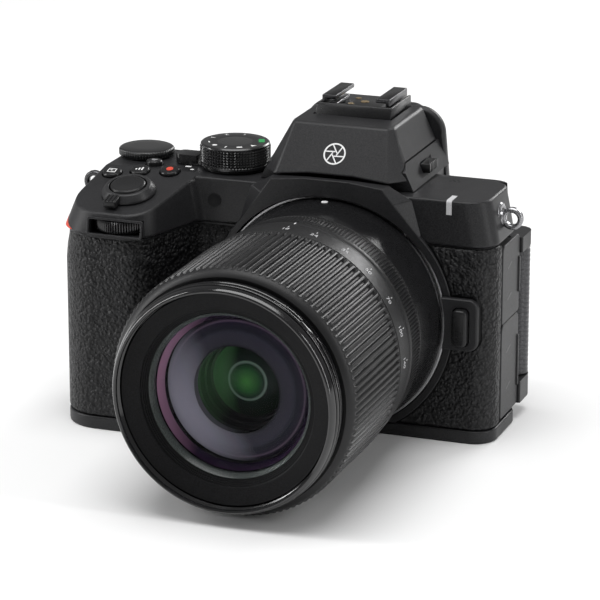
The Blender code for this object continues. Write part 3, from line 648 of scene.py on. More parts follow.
def control_ring():
    """The narrow ring with fine ribs behind the zoom ring."""
    profile = [(31.8, 37.2, 0), (34.4, 37.2, 0), (34.65, 37.4, 0), (34.75, 38.0, 0), (34.8, 38.3, 1),
               (35.1, 45.7, 1), (35.15, 46.0, 0), (35.2, 46.6, 0), (35.2, 48.0, 0), (35.0, 48.3, 0),
               (31.8, 48.3, 0)]
    ribs = ribbed(profile, 200, 0.42, (0.0, 0.1, 1.0, 1.0), aim(FRONT, LENS_CENTRE), closed=True)
    piece("control_ring_ribs", ribs, RUBBER, "control_ring", sharp=40)


def wrapped(solid, radius, y, degrees):
    """Bends a flat solid round the optical axis: its x runs round the barrel, its y towards the mount."""
    for v in solid.verts:
        turn = math.radians(degrees) + v.co.x / radius
        reach = radius + v.co.z
        v.co = Vector((reach * math.sin(turn), y + v.co.y, AXIS_Z + reach * math.cos(turn)))
    return solid


def zoom_scale():
    """Focal lengths round the collar; the first stands under the index at rest, the last at the full turn."""
    depth = 0.08
    places = {"18": 0, "24": 14, "35": 30, "50": 44, "70": 60, "100": 75, "140": 90}
    for text, degrees in places.items():
        number = wrapped(figures(text, 2.3, depth), 35.88, -55.4, degrees)
        sign(f"focal_{text}", number, PALE, "zoom_ring")
        tick = wrapped(plate(bar(0.25, 0.9), depth, cuts=2), 35.72, -52.7, degrees)
        sign(f"focal_tick_{text}", tick, PALE, "zoom_ring")
    index = wrapped(plate(bar(0.4, 1.3), depth, cuts=2), 35.2, -47.4, 0)
    sign("zoom_index", index, WHITE, "control_ring")


def rear_barrel():
    """The fixed barrel behind the rings, the lens's flange, and the body's bright mount ring."""
    profile = [(30.0, -18.5), (34.9, -18.5), (35.25, -18.8), (35.25, -19.6), (35.05, -19.8), (35.05, -20.1),
               (35.2, -20.4), (35.0, -22.8), (34.4, -36.0), (34.35, -36.4), (34.0, -36.9), (31.4, -36.9),
               (31.4, -97.0), (30.0, -97.0)]
    lens_lathe("rear_barrel_turned", "lens_barrel", profile, LENS_PAINT, soft=0.12)
    sign("mount_index_dot", wrapped(plate(disc(1.0), 0.3, cuts=2), 35.0, -22.6, 0), WHITE, "lens_barrel")
    profile = [(24.5, -12.6), (27.1, -12.6), (27.1, -16.3), (33.0, -16.3), (33.0, -18.2), (24.5, -18.2)]
    lens_lathe("lens_flange_turned", "lens_mount_plate", profile, STEEL, soft=0.2)
    lip_y = -17.9
    profile = [(27.5, -16.0), (28.3, -16.45), (34.3, -16.45), (34.5, -17.7), (34.8, lip_y), (35.8, lip_y),
               (36.0, -17.6), (36.0, -16.6), (35.6, -16.4), (35.6, -13.5), (29.1, -13.5), (29.1, -11.3),
               (27.5, -11.3)]
    lens_lathe("mount_ring_turned", "mount_ring", profile, RING_STEEL, soft=0.1)
    turn, reach = math.radians(41.5), 35.6
    spot = (reach * math.sin(turn), lip_y, AXIS_Z + reach * math.cos(turn))
    sign("body_index_dot", moved(prism(disc(0.62), 0.0, 0.12), aim(FRONT, spot)), WHITE, "mount_ring")


def front_barrel():
    """The extending barrel: hood bayonet, stepped rim and filter thread."""
    outer = [(27.8, -46.0), (27.8, -98.3), (32.6, -98.3), (32.7, -98.5), (32.7, -99.3), (32.2, -99.5),
             (32.2, -100.5), (33.0, -100.7), (33.15, -100.9), (33.15, -101.4), (33.0, -101.6),
             (32.5, -101.7), (32.5, -102.2), (33.0, -102.3), (33.1, -102.5), (33.1, -103.0), (32.9, -103.3),
             (32.45, -103.4), (32.4, -103.9), (32.75, -104.1), (32.65, -104.6), (32.2, -105.5), (31.9, -105.9),
             (31.6, -106.0), (31.15, -105.8)]
    thread_radius, thread_front, pitch, turns = 31.0, -105.2, 0.5, 5
    thread = []
    for k in range(turns):
        y = thread_front + pitch * k
        thread += [(thread_radius, y), (thread_radius + 0.28, y + pitch * 0.5)]
    inner = [(30.9, -102.6), (30.9, -101.9), (26.0, -101.6), (26.0, -46.0)]
    lens_lathe("front_barrel_turned", "front_barrel", outer + thread + inner, RIM_PAINT, soft=0.0)
    for k, degrees in enumerate((47, 167, 287)):
        place = Matrix.Translation(LENS_CENTRE) @ Matrix.Rotation(math.radians(degrees), 4, "Y")
        lug = moved(box((-3.2, -103.0, 32.0), (3.2, -100.8, 33.15)), place)
        piece(f"bayonet_stop_{k}", lug, RIM_PAINT, "front_barrel", replaces=False, bevel=0.15, segments=2)
    tube = [(28.1, -42.0), (29.7, -42.0), (29.7, -97.3), (28.1, -97.3)]
    lens_lathe("middle_barrel_turned", "middle_barrel", tube, LENS_PAINT, soft=0.2)
    bezel = [(30.75, -102.3), (30.7, -103.1), (30.4, -103.3), (30.1, -103.15), (29.9, -103.1), (25.9, -102.0),
             (25.6, -101.8), (25.5, -101.2), (25.1, -101.2), (25.0, -100.7), (24.7, -100.7), (24.6, -100.2),
             (24.3, -100.2), (24.2, -99.8), (24.0, -99.8), (24.0, -97.0), (25.7, -97.0), (25.8, -101.3)]
    dull = paint("bezel_black", (0.006, 0.006, 0.0065), 0.5, 0.3, 0.006, 0.12)
    lens_lathe("name_bezel_turned", "name_bezel", bezel, dull)
    retainer = [(23.9, -97.2), (23.9, -99.8), (23.7, -99.9), (22.75, -98.5), (22.75, -97.2)]
    satin = paint("satin_retainer", (0.045, 0.052, 0.050), 0.22, 0.2, 0.002)
    lens_lathe("glass_retainer", "name_bezel", retainer, satin, replaces=False)


def cap(edge, rim, apex):
    """A spherical cap's (radius, y) points, from its rim to its apex on the axis."""
    steps, sag, side = 10, abs(apex - rim), 1 if apex > rim else -1
    curve = (edge * edge + sag * sag) / (2 * sag)
    points = []
    for k in range(steps + 1):
        r = edge * (1 - k / steps)
        points.append((r, rim + side * (math.sqrt(curve * curve - r * r) - (curve - sag))))
    return points


def glass():
    """The coated front element, the stepped baffle behind it and the surfaces seen deep inside, painted with
    the reflections seen in them.
    """
    lens = [*reversed(cap(22.7, -97.4, -100.6)), *cap(21.6, -94.6, -96.6)]
    clear = clear_glass("coated_front_glass", (0.96, 0.97, 1.0), 1.1)
    lens_lathe("front_glass", "front_element", lens, clear, soft=0)
    steps = []
    for k in range(7):
        radius, y = 22.4 - 0.95 * k, -94.2 + 1.25 * k
        steps += [(radius, y), (radius - 0.15, y + 0.9), (radius - 0.95, y + 0.95)]
    steps += [(15.2, -84.0), (15.0, -83.0), (24.5, -83.0), (24.5, -94.2)]
    lens_lathe("stepped_baffle", "front_element", steps, FINE, replaces=False)
    # Painted reflection in the second element: lavender rings with a thin bright painted highlight ring,
    # lighter towards the left and the bottom.
    lavender = painted_reflection_surface(
        "lavender_painted_reflection", 22,
        [(0.0, (0.005, 0.005, 0.006)), (0.57, (0.008, 0.008, 0.010)), (0.60, (0.030, 0.028, 0.038)),
         (0.74, (0.036, 0.034, 0.050)), (0.80, (0.012, 0.012, 0.02)), (0.87, (0.02, 0.015, 0.03)),
         (0.89, (0.12, 0.08, 0.12)), (0.91, (0.015, 0.01, 0.02)), (0.95, (0.006, 0.006, 0.01))],
        side=(1.0, -0.5, 0.15, 1.0, (0.36, 0.34, 0.40)), gloss=0.25)
    dome = cap(20.8, -92.4, -94.3)[:5]
    dome += [(dome[-1][0], -91.0), (20.8, -91.0)]
    lens_lathe("second_glass_rim", "front_element", dome, lavender, replaces=False, soft=0)
    # Painted reflection on the glass edge: magenta towards the left.
    magenta = painted_reflection_surface(
        "magenta_painted_reflection", 23,
        [(0.0, (0.01, 0.005, 0.01)), (0.86, (0.015, 0.01, 0.02)), (0.93, (0.02, 0.012, 0.03)),
         (0.97, (0.04, 0.02, 0.05)), (1.0, (0.01, 0.01, 0.01))],
        side=(1.0, 0.1, 0.40, 1.0, (0.50, 0.27, 0.40)), gloss=0.25)
    edge = [(22.5, -96.9), (20.9, -94.5), (20.9, -94.3), (22.5, -96.6)]
    lens_lathe("edge_reflection", "front_element", edge, magenta, replaces=False, soft=0)
    well = [(13.4, -92.6), (13.1, -89.5), (12.5, -89.3), (12.3, -86.5), (11.8, -86.3), (11.6, -83.6),
            (10.6, -83.4), (10.4, -80.0), (13.8, -80.0), (13.8, -92.0)]
    walls = painted_reflection_surface(
        "well_reflection", 13, [(0.0, (0.004, 0.004, 0.004)), (1.0, (0.006, 0.006, 0.007))],
        side=(1.0, -0.1, 0.45, 1.1, (0.07, 0.16, 0.07)), gloss=0.4)
    lens_lathe("inner_well", "front_element", well, walls, replaces=False)
    # Painted reflection deep inside: green rings with a bright painted highlight ring, lighter towards the
    # left.
    green = painted_reflection_surface(
        "green_painted_reflection", 11,
        [(0.0, (0.04, 0.20, 0.03)), (0.30, (0.014, 0.08, 0.018)), (0.44, (0.004, 0.02, 0.008)),
         (0.50, (0.16, 0.24, 0.18)), (0.54, (0.005, 0.012, 0.008)), (1.0, (0.004, 0.012, 0.006))],
        side=(1.0, 0.0, 0.25, 1.0, (0.10, 0.26, 0.10)), gloss=0.08)
    deep = [*cap(11.4, -83.2, -86.0), (0, -81.0), (10.4, -81.0)]
    lens_lathe("third_glass", "front_element", deep, green, replaces=False, soft=0)
    for node in ("relay_lens_group", "aperture_unit"):
        carried(node, MATTE)


# ---------------------------------------------------------------- body shells


def body_corners(back=BODY_BACK, left=BODY_LEFT, front=GRIP_FRONT, right=BODY_RIGHT, inner=(-49.0, -41.6)):
    """The body seen from above; inner holds the x of the grip's two corners beside the lens."""
    return [(right, back, 6), (left, back, 8), (left, front, 12), (inner[0], front, 9),
            (inner[1], BODY_FRONT, 3), (right, BODY_FRONT, 7)]


def level(inward, z):
    """The body's outline at a height, moved inwards."""
    return [(p[0], p[1], z) for p in rounded(inset(body_corners(), inward))]


def across_lens(radius, y_low, y_high):
    """A cylinder about the optical axis."""
    return rod((0, y_low, AXIS_Z), (0, y_high, AXIS_Z), radius, 96)


def rod(start, end, radius, sides=48):
    start, end = Vector(start), Vector(end)
    bm = bmesh.new()
    bmesh.ops.create_cone(bm, cap_ends=True, segments=sides, radius1=radius, radius2=radius,
                          depth=(end - start).length, matrix=aim(end - start, (start + end) / 2))
    return bm


def skins():
    """The covering round the grip, drawn in under the grip's cover, and the one beside the ports."""
    low, high = span("grip_rubber")[0].z, span("grip_rubber")[1].z
    foot = [(0.5, low), (0.1, low + 0.5), (0.0, low + 1.2)]
    coverings = (
        ("grip_covering", "grip_rubber",
         [(0.0, 51.0), (0.35, 55.0), (0.9, 58.0), (1.0, high - 0.4), (1.3, high)], 1.9,
         [box((0, -60, 0), (60, 30, 70)), box((-90, 6, 0), (60, 30, 70)), across_lens(SKIN_BORE, -30, -10)]),
        ("front_covering", "front_leatherette", [(0.0, high - 0.9), (0.2, high - 0.3), (0.6, high)], 0.9,
         [box((-90, -60, 0), (0, 30, 70)), box((40, -8.3, 0), (60, 30, 70)), box((-10, -5, 0), (60, 30, 70)),
          across_lens(SKIN_BORE, -30, -10),
          prism(rectangle((30, 29.2), (46.6, 45.6), (1, 3.3, 3.3, 1)), -20, -15, "XZ"),
          box((RELEASE_LOW[0], -24, RELEASE_LOW[1]), (RELEASE_HIGH[0], -10, RELEASE_HIGH[1]))]))
    for name, node, upper, thickness, cuts in coverings:
        covering = as_object(name, loft([level(inward, z) for inward, z in foot + upper]), LEATHER)
        combined(covering, [loft([level(thickness, low - 1), level(thickness, high + 1)]), *cuts])
        fit(smooth(covering), node)
    carried("front_cover", PAINT)


def base():
    """The base band with the tripod thread, the battery door in its opening, and the screws."""
    low, high = span("battery_door")
    hole = [(high.x, low.y, 5), (high.x, high.y, 1), (low.x, high.y, 1), (low.x, low.y, 9)]
    band = bevelled(as_object("base_band", loft([level(0, 0), level(0, BASE_TOP)]), PAINT), 0.6)
    combined(band, [prism(rounded(inset(hole, -GAP)), -1, BASE_TOP + 1), across_lens(MOUNT_BORE, -30, -13.2),
                    rod((0, -6, -1), (0, -6, BASE_TOP + 1), 4.4),
                    loft([level(3.4, 1.8), level(3.4, BASE_TOP + 1)])])
    fit(levelled(smooth(band)), "base_plate")
    carried("tripod_socket", STEEL)
    piece("battery_door_panel", prism(rounded(hole), 0, 1.6), PAINT, "battery_door", bevel=0.25, segments=2)
    catch = prism(rectangle((-72.5, -18), (-69.5, -9.5), 1, 4), 0.02, 0.5)
    sign("battery_door_catch", catch, FINE, "battery_door")
    head = softened([(0, 0.45), (0, 0.08), (1.5, 0.08), (1.7, 0.3), (1.7, 0.45)], 0.1)
    slot, reach = 0.16, 1.1
    for k, (x, y) in enumerate(((-40, 4), (38, 4), (42, -10), (-40, -12), (-66, 5), (20, 6))):
        screw = as_object(f"base_screw_{k}", lathe(head, (x, y, -0.05), UP, 32), DARK_STEEL)
        cross = [box((x - a, y - b, -1), (x + a, y + b, 0.2)) for a, b in ((reach, slot), (slot, reach))]
        combined(screw, cross)
        fit(smooth(screw), "base_plate", replaces=False)


def wedge(drop):
    """The solid above the grip's falling top, lowered by a distance."""
    reach, top_z = 40.0, 95
    falling = [(SLOPE_Y, DECK_Z - drop), (SLOPE_Y - reach, DECK_Z - SLOPE * reach - drop)]
    return prism(falling + [(SLOPE_Y - reach, top_z), (SLOPE_Y, top_z)], -90, -43, "YZ")


def top():
    """The top cover: a shoulder at each side of the hump, the grip's falling top, and the controls' holes."""
    low, wall = span("top_cover")[0].z, 1.8
    foot, deck = body_corners(back=9.0), body_corners(9.0, -73.5, -39.5, 47.4, (-51.5, -44.0))
    lip = inset(foot, 0.1)

    def shell(outlines):
        return loft([[(p[0], p[1], z) for p in rounded(corners)] for corners, z in outlines])

    outlines = ((inset(foot, 0.6), low), (inset(foot, 0.15), low + 0.4), (lip, low + 1.0), (deck, DECK_Z))
    cover = combined(as_object("top_cover_shell", shell(outlines), PAINT), [wedge(0)])
    bevelled(cover, 0.75, 4, 40, lambda p: p.z > low + 2)
    hollow = as_object("hollow", shell(((inset(foot, wall), low - 1), (inset(deck, wall), DECK_Z - wall))))
    combined(hollow, [wedge(2.2)])
    inside = bmesh.new()
    inside.from_mesh(hollow.data)
    bmesh.ops.scale(inside, vec=(1 / MM,) * 3, verts=inside.verts)
    bpy.data.objects.remove(hollow)
    holes = [inside, across_lens(MOUNT_BORE, -25, -10), box((-14, -8, 65), (14, 8, 80)),
             box((-66.6, -50, 60.8), (-50.3, -34, 65.3))]
    on_slope = {"exposure_button": 3.2, "iso_button": 3.2, "record_button": 3.3, "shutter_button": 5.7}
    for node, reach in on_slope.items():
        centre = middle(node)
        holes.append(rod(centre - SLOPE_NORMAL * 5, centre + SLOPE_NORMAL * 5, reach))
    on_deck = {"picture_button": 2.8, "mode_dial": 3.3, "main_command_dial": 3.3}
    for node, reach in on_deck.items():
        centre = middle(node)
        holes.append(rod((centre.x, centre.y, DECK_Z - 6), (centre.x, centre.y, DECK_Z + 4), reach))
    combined(cover, holes)
    fit(levelled(smooth(cover, 30)), "top_cover")
    lean = Matrix.Translation((0, -41.95, 63.1)) @ Matrix.Rotation(-math.atan(0.228), 4, "X")
    window = moved(prism(rectangle((-67.4, -2.75), (-49.5, 2.75), 0.9, 6), -0.4, 0.6, "XZ"), lean)
    border = as_object("sub_dial_border", window, PAINT)
    combined(border, [prism(rectangle((-66.6, 61.05), (-50.3, 65.15), 0.5, 4), -46, -38, "XZ")])
    fit(smooth(bevelled(border, 0.22)), "top_cover", replaces=False)
    grip_accent(rounded(lip), rounded(deck), low + 1.0)


def grip_accent(lower, upper, lower_z):
    """The red sliver round the grip's outer front edge, laid on the cover between two of its outlines."""
    first, last, bottom, arc_steps = 22, 28, 60.9, 10
    rings = []
    for i in range(first, last + 1):
        turn = math.pi / 2 * (i - first) / arc_steps
        top_z = 64.0 - 0.5 * (i - first)
        ring = []
        for out, z in ((-0.25, bottom), (0.07, bottom), (0.07, top_z), (-0.25, top_z)):
            spot = lower[i].lerp(upper[i], (z - lower_z) / (DECK_Z - lower_z))
            ring.append((spot.x - out * math.cos(turn), spot.y - out * math.sin(turn), z))
        rings.append(ring)
    sign("grip_accent", loft(rings), RED, "top_cover")


def surround():
    """The fascia round the mount, its brow under the flash head and the release button's housing."""
    low, radius = span("mount_surround")[0].z, 38.3
    first = math.pi - math.acos((AXIS_Z - low) / radius)
    last, steps = math.radians(47), 40
    arc = [first + (last - first) * k / steps for k in range(steps + 1)]
    side = [(radius * math.sin(a), AXIS_Z + radius * math.cos(a)) for a in arc]

    def ring(corners, y_of):
        half = side + corners
        return [(x, y_of(z), z) for x, z in half + [(-x, z) for x, z in reversed(half)]]

    def brow(z):
        rise = max(0.0, min(1.0, (z - 45) / 31))
        return -17.9 - 4.1 * rise * rise

    rear_y = BODY_FRONT - GAP
    solid = loft([ring([(25.2, 73.2), (18.0, 76.95), (7.0, 77.4)], lambda z: rear_y),
                  ring([(20.5, 72.3), (17.2, 76.85), (7.0, 78.05)], brow)])
    fascia = combined(as_object("mount_fascia", solid, PAINT), [across_lens(MOUNT_BORE, -30, -10)])
    fit(levelled(smooth(bevelled(fascia, 0.3, 3, 25), 30)), "mount_surround")
    solid = prism(rectangle((33, 29.5), (46.3, 45.3), (1, 3, 3, 1)), -19.6, rear_y, "XZ")
    housing = bevelled(as_object("release_housing", solid, PAINT), 0.7, 4)
    combined(housing, [across_lens(MOUNT_BORE, -30, -10),
                       prism(rectangle(RELEASE_LOW, RELEASE_HIGH, 1.6), -24, -10, "XZ")])
    fit(levelled(smooth(housing, 30)), "mount_surround", replaces=False)
    low, high = span("lens_release_button")
    button = prism(rectangle((low.x, low.z), (high.x, high.z), 1.6), low.y, high.y, "XZ")
    piece("lens_release_key", button, FINE, "lens_release_button", bevel=0.9, segments=5)


# ---------------------------------------------------------------- hump

def hump_half_width(z):
    return HUMP_FOOT - HUMP_LEAN * (z - DECK_Z)


def hump_block(y_low, y_high, z_low, z_high, inward=0.0):
    """A slice of the hump between two depths and two heights, its sides moved inwards."""
    low, high = hump_half_width(z_low) - inward, hump_half_width(z_high) - inward
    return prism([(-low, z_low), (low, z_low), (high, z_high), (-high, z_high)], y_low, y_high, "XZ")


def flash():
    """The flash head with its sloping front, and the lamp's window below it."""
    seam, top_z, rear = 77.2, 91.6, 20.6

    def outline(y_front, y_slope, half_front, z, bow=0.0):
        half_side = hump_half_width(z)
        right = [(7.0, y_front, z + bow), (half_front, y_front, z)]
        right += [(half_side, y, z) for y in (y_slope, 0, rear)]
        return right + [(-x, y, z) for x, y, z in reversed(right)]

    solid = loft([outline(-18.0, -12.7, 17.7, seam, 1.2), outline(-8.5, -5.5, 14.7, top_z)])
    head = bevelled(as_object("flash_head_shell", solid, PAINT), 0.9, 5, 12)
    side = [(-12.7, 70), (-12.7, 79.8), (-9.4, 82.2), (40, 82.2), (40, 70)]
    lamp = [(-7.6, 76.0), (-7.6, seam), (-12.6, 82.8), (-16.2, seam), (-16.2, 76.0)]
    combined(head, [hump_block(-6.6, 30, 70, top_z - 1.6, 2.2), box((-12.4, 1.2, 70), (12.4, 30, 100)),
                    prism(side, 17.8, 30, "YZ"), prism(side, -30, -17.8, "YZ"),
                    prism(lamp, -12.5, 12.5, "YZ")])
    fit(levelled(smooth(head, 30)), "flash_head")
    carried("flash_window", clear_glass("flash_window_glass", (0.9, 0.92, 0.95), 1.45, 0.25))


def finder():
    """The fixed part of the hump: foot, core, the arched rear end with the eyepiece, and the flash switch."""
    low, foot_top, back_y, heel_z = DECK_Z + GAP, 81.7, 24.5, 62.5
    housing = as_object("finder_housing", hump_block(-12.2, 22.2, low, foot_top), PAINT)
    shoulder = [(-13, 79.6), (-12.2, 79.6), (-9.2, foot_top), (-9.2, 90), (-13, 90)]
    combined(housing, [box((-18.3, -20, 76.4), (18.3, -6, 90)), prism(shoulder, -40, 40, "YZ")])

    def arch(y, inward):
        side, top_z = 21.5 - inward, 91.0 - inward
        corners = [(-24.0, heel_z, 2), (24.0, heel_z, 2), (side, top_z, 8), (-side, top_z, 8)]
        return [(x, y, z) for x, z in rounded(corners)]

    stations = ((21.7, 1.0), (22.0, 0.5), (22.7, 0.0), (back_y - 0.4, 0.0), (back_y, 0.4))
    hood = loft([arch(y, inward) for y, inward in stations])
    combined(housing, [hump_block(2.0, back_y, foot_top - 1, 89.4, 3.6), hood,
                       box((-17, -16.5, low), (17, -11, 76.4)),
                       box((-22.5, BODY_BACK + GAP, heel_z), (22.5, 22.2, low + 1))], "UNION")
    bevelled(housing, 0.3, 3, 35)
    combined(housing, [box((-10.3, 15, 78.2), (10.3, 30, 87.6)), box((21.2, 0.4, 76.4), (30, 11.2, 79.6)),
                       rod((-30, 18.5, 78.2), (-19.5, 18.5, 78.2), 3.7)])
    fit(levelled(smooth(housing, 30)), "evf_housing")
    carried("eyepiece_lens", screen_glass("finder_glass"), 0.3)
    carried("evf_display", SCREEN)
    finder_controls()
    eyecup()


def finder_controls():
    """The grooved flash switch on the hump's port side and the dioptre wheel on its grip side."""
    low, high = span("flash_slider")
    slider = as_object("flash_switch_key", box(low, high), FINE)
    starts = [low.y + 1.2 + 1.3 * k for k in range(5)]
    combined(slider, [box((high.x - 0.25, y, low.z - 1), (high.x + 1, y + 0.5, high.z + 1)) for y in starts])
    fit(smooth(bevelled(slider, 0.12, 2)), "flash_slider")
    low, centre = span("diopter_dial")[0], middle("diopter_dial")
    profile = [(0, 0, 0), (2.9, 0, 0), (3.3, 0.3, 1), (3.4, 2.4, 1), (3.1, 2.7, 0), (0, 2.7, 0)]
    wheel = ribbed(profile, 28, 0.25, SOFT_RIB, aim(LEFT, (low.x + 2.7, centre.y, centre.z)))
    piece("diopter_wheel", wheel, FINE, "diopter_dial", sharp=40)


def eyecup():
    """The rubber cup round the eyepiece, flared inside."""
    outer = [(-17.0, 75.6, 4), (17.0, 75.6, 4), (15.0, 90.6, 5), (-15.0, 90.6, 5)]
    inner = [(-11, 78.2, 3), (11, 78.2, 3), (11, 87.8, 3), (-11, 87.8, 3)]

    def lofted(corners, stations):
        return loft([[(p[0], y, p[1]) for p in rounded(inset(corners, -grow))] for y, grow in stations])

    outside = lofted(outer, ((24.8, 0.0), (26.4, 0.4), (27.8, 0.3), (28.4, -0.6)))
    cup = as_object("eyecup_rubber", outside, SOFT)
    combined(cup, [lofted(inner, ((20, 0.0), (25.5, 0.0), (29.0, 1.6)))])
    fit(smooth(bevelled(cup, 0.3)), "eyecup")


def shoe():
    """The accessory shoe: its base, the rails bent from plate, the springs and the contacts."""
    low, high = span("shoe_base")
    side = [(low.y, low.z), (low.y, low.z + 1.6), (low.y + 1.8, high.z), (high.y, high.z), (high.y, low.z)]
    block = as_object("shoe_base_block", prism(side, low.x, high.x, "YZ"), FINE)
    combined(block, [box((-11.0, 4.35, 92.5), (11.0, 30, 100))])
    fit(smooth(bevelled(block, 0.25)), "shoe_base")
    half = [(10.6, 92.8), (10.6, 96.8), (6.25, 96.8), (6.25, 95.6), (9.3, 95.6), (9.3, 93.5)]
    rail = [(-10.6, 92.8), *half, *[(-x, z) for x, z in reversed(half[1:])]]
    low, high = span("shoe_rails")
    piece("shoe_rail_plate", prism(rail, low.y, high.y, "XZ"), DARK_STEEL, "shoe_rails", bevel=0.2)
    brass = metal("contact_brass", (0.75, 0.56, 0.30), 0.3)
    for k, (x, y) in enumerate(((0, 13), (-3.2, 16.5), (3.2, 16.5), (-3.2, 9.5))):
        sign(f"shoe_contact_{k}", prism(disc(0.9 if k else 1.3, (x, y)), 93.5, 93.62), brass, "shoe_rails")
    for k, x in enumerate((-7.9, 7.9)):
        spring = box((x - 1.0, low.y + 1.5, 93.55), (x + 1.0, high.y - 2, 93.8))
        spring = bevelled(as_object(f"shoe_spring_{k}", spring, STEEL), 0.08, 2)
        fit(spring, "shoe_rails", replaces=False)


# ---------------------------------------------------------------- controls

def tilted(centre, height, normal):
    """The matrix of a mark that lies on a sloping control, its +Y towards the back."""
    return aim(normal, Vector(centre) + normal * height)


def shutter():
    """The release button, and the power collar round it with its grooved tab."""
    centre = Vector((-59.6, -28.2, DECK_Z + SLOPE * (-28.2 - SLOPE_Y)))
    button = [(0, -2.4), (5.3, -2.4), (5.3, 2.5), (5.15, 2.9), (4.8, 3.2), (4.3, 3.3), (2.6, 3.12), (0, 3.0)]
    turned("shutter_release_key", "shutter_button", button, centre, SLOPE_NORMAL, FINE, steps=72)
    collar = [(5.75, 0.35), (8.15, 0.35), (8.2, 0.6), (8.05, 1.1), (6.9, 2.6), (6.6, 2.8), (5.75, 2.8)]
    satin = paint("satin_collar", (0.020, 0.020, 0.021), 0.30, 0.2, 0.004)
    turned("power_collar_ring", "power_switch", collar, centre, SLOPE_NORMAL, satin, soft=0.12, steps=72)
    turn = UP.rotation_difference(SLOPE_NORMAL).to_matrix().to_4x4()
    spot = centre + SLOPE_NORMAL * 1.7 + Vector((-1.6, -8.6, -2.1))
    size, groove = Vector((2.0, 2.3, 1.2)), Vector((0.18, 3.0, 0.25))
    tab = smooth(bevelled(as_object("power_lever_tab", box(spot - size, spot + size, turn), FINE), 0.45))
    places = [spot + Vector((k * 1.1, 0, 0)) + SLOPE_NORMAL * 1.25 for k in (-1, 0, 1)]
    combined(tab, [box(at - groove, at + groove, turn) for at in places])
    fit(tab, "power_switch", replaces=False)


def top_buttons():
    """The round keys: slightly dished caps in their holes, with printed signs."""
    faces = {}
    keys = (("exposure_button", 2.9, 1.0, SLOPE_NORMAL), ("iso_button", 2.9, 1.0, SLOPE_NORMAL),
            ("record_button", 3.0, 1.0, SLOPE_NORMAL), ("picture_button", 2.5, 1.6, UP))
    for node, radius, proud, normal in keys:
        centre = middle(node)
        point = Vector((centre.x, centre.y, DECK_Z + SLOPE * min(0.0, centre.y - SLOPE_Y)))
        profile = [(0, -2.2), (radius, -2.2), (radius, proud - 0.5), (radius - 0.35, proud - 0.08),
                   (radius - 0.8, proud), (0, proud - 0.15)]
        turned(f"{node}_key", node, profile, point, normal, FINE)
        faces[node] = [tilted(point, proud - 0.05 + lift, normal) for lift in (0.0, 0.02, 0.04)]
    face, raised, _ = faces["exposure_button"]
    framed_mark("exposure_sign", bar(2.6, 2.2), bar(2.1, 1.7), raised, "exposure_button", 0.08)
    for part, outline in (("plus_a", bar(0.9, 0.18, (-0.3, 0.35))), ("plus_b", bar(0.18, 0.9, (-0.3, 0.35))),
                          ("minus", bar(0.9, 0.18, (0.35, -0.5)))):
        mark(f"exposure_{part}", outline, face, WHITE, "exposure_button")
    for k in range(3):
        outline = bar(0.45, 0.7 + 0.5 * k, (-0.9 + 0.9 * k, -0.55 + 0.25 * k))
        mark(f"gain_bar_{k}", outline, faces["iso_button"][0], WHITE, "iso_button")
    mark("record_dot", disc(1.05), faces["record_button"][2], RED, "record_button", 0.2)
    for k in range(3):
        outline = bar(2.0 - 0.4 * k, 0.3, (0, 0.6 - 0.6 * k))
        mark(f"picture_bar_{k}", outline, faces["picture_button"][0], GREY, "picture_button")


def mode_dial():
    """The mode dial: rows of pyramid knurls, a turned top with generic signs, and its seat."""
    columns, rows, fine = 64, 6, 4
    low_z, high_z, radius, height = 2.3, 7.2, 10.2, 0.54
    seat = [(3.0, -4.5), (3.0, 1.0), (10.2, 1.0), (10.5, 1.2), (10.5, 1.9), (10.2, 2.15)]
    crown = [(10.45, 7.4), (10.4, 7.75), (10.0, 8.1), (9.6, 8.15)]
    bm = bmesh.new()
    grid = []
    for j in range(columns * fine):
        across = abs((j / fine % 1) * 2 - 1)
        knurls = []
        for i in range(rows * fine + 1):
            v = i / fine
            bump = 1 - max(across, abs((v % 1) * 2 - 1)) if 0 < i < rows * fine else 0
            knurls.append((radius + height * bump, low_z + (high_z - low_z) * v / rows))
        angle = math.tau * j / (columns * fine)
        x, y = math.cos(angle), math.sin(angle)
        grid.append([bm.verts.new((r * x, r * y, z)) for r, z in seat + knurls + crown])
    skinned(bm, grid, closed=False)
    for end in (0, -1):
        bm.faces.new([column[end] for column in grid])
    piece("mode_dial_knurl", moved(bm, Matrix.Translation(DIAL_CENTRE)), GLOSS, "mode_dial", sharp=28)
    face = [(0, 8.05), (9.55, 8.05), (9.55, 8.12), (5.4, 8.2), (5.2, 8.12), (0, 8.12)]
    turned("mode_dial_face", "mode_dial", face, DIAL_CENTRE, UP, DIAL_TOP, False, soft=0.02, steps=96)
    depth, reach = 0.04, 7.9

    def signed(k, degrees, solid, material=WHITE):
        turn = math.radians(degrees)
        spot = DIAL_CENTRE + Vector((reach * math.sin(turn), -reach * math.cos(turn), 8.19))
        place = Matrix.Translation(spot) @ Matrix.Rotation(turn, 4, "Z")
        sign(f"mode_sign_{k}", moved(solid, place), material, "mode_dial")

    for k, text in enumerate("123"):
        signed(k, 180 + 40 * k, figures(text, 2.0, depth))
    signed(4, 110, plate(rectangle((-1.9, -0.9), (1.9, 0.9), 0.3, 3), depth), GREEN)
    shapes = ((-60, bar(1.6, 0.34)), (-30, disc(0.75)), (0, bar(0.34, 1.6)), (30, bar(1.7, 1.0)),
              (62, [(-0.9, -0.7), (0.9, -0.7), (0, 0.9)]))
    for k, (degrees, outline) in enumerate(shapes):
        signed(10 + k, degrees, plate(outline, depth))


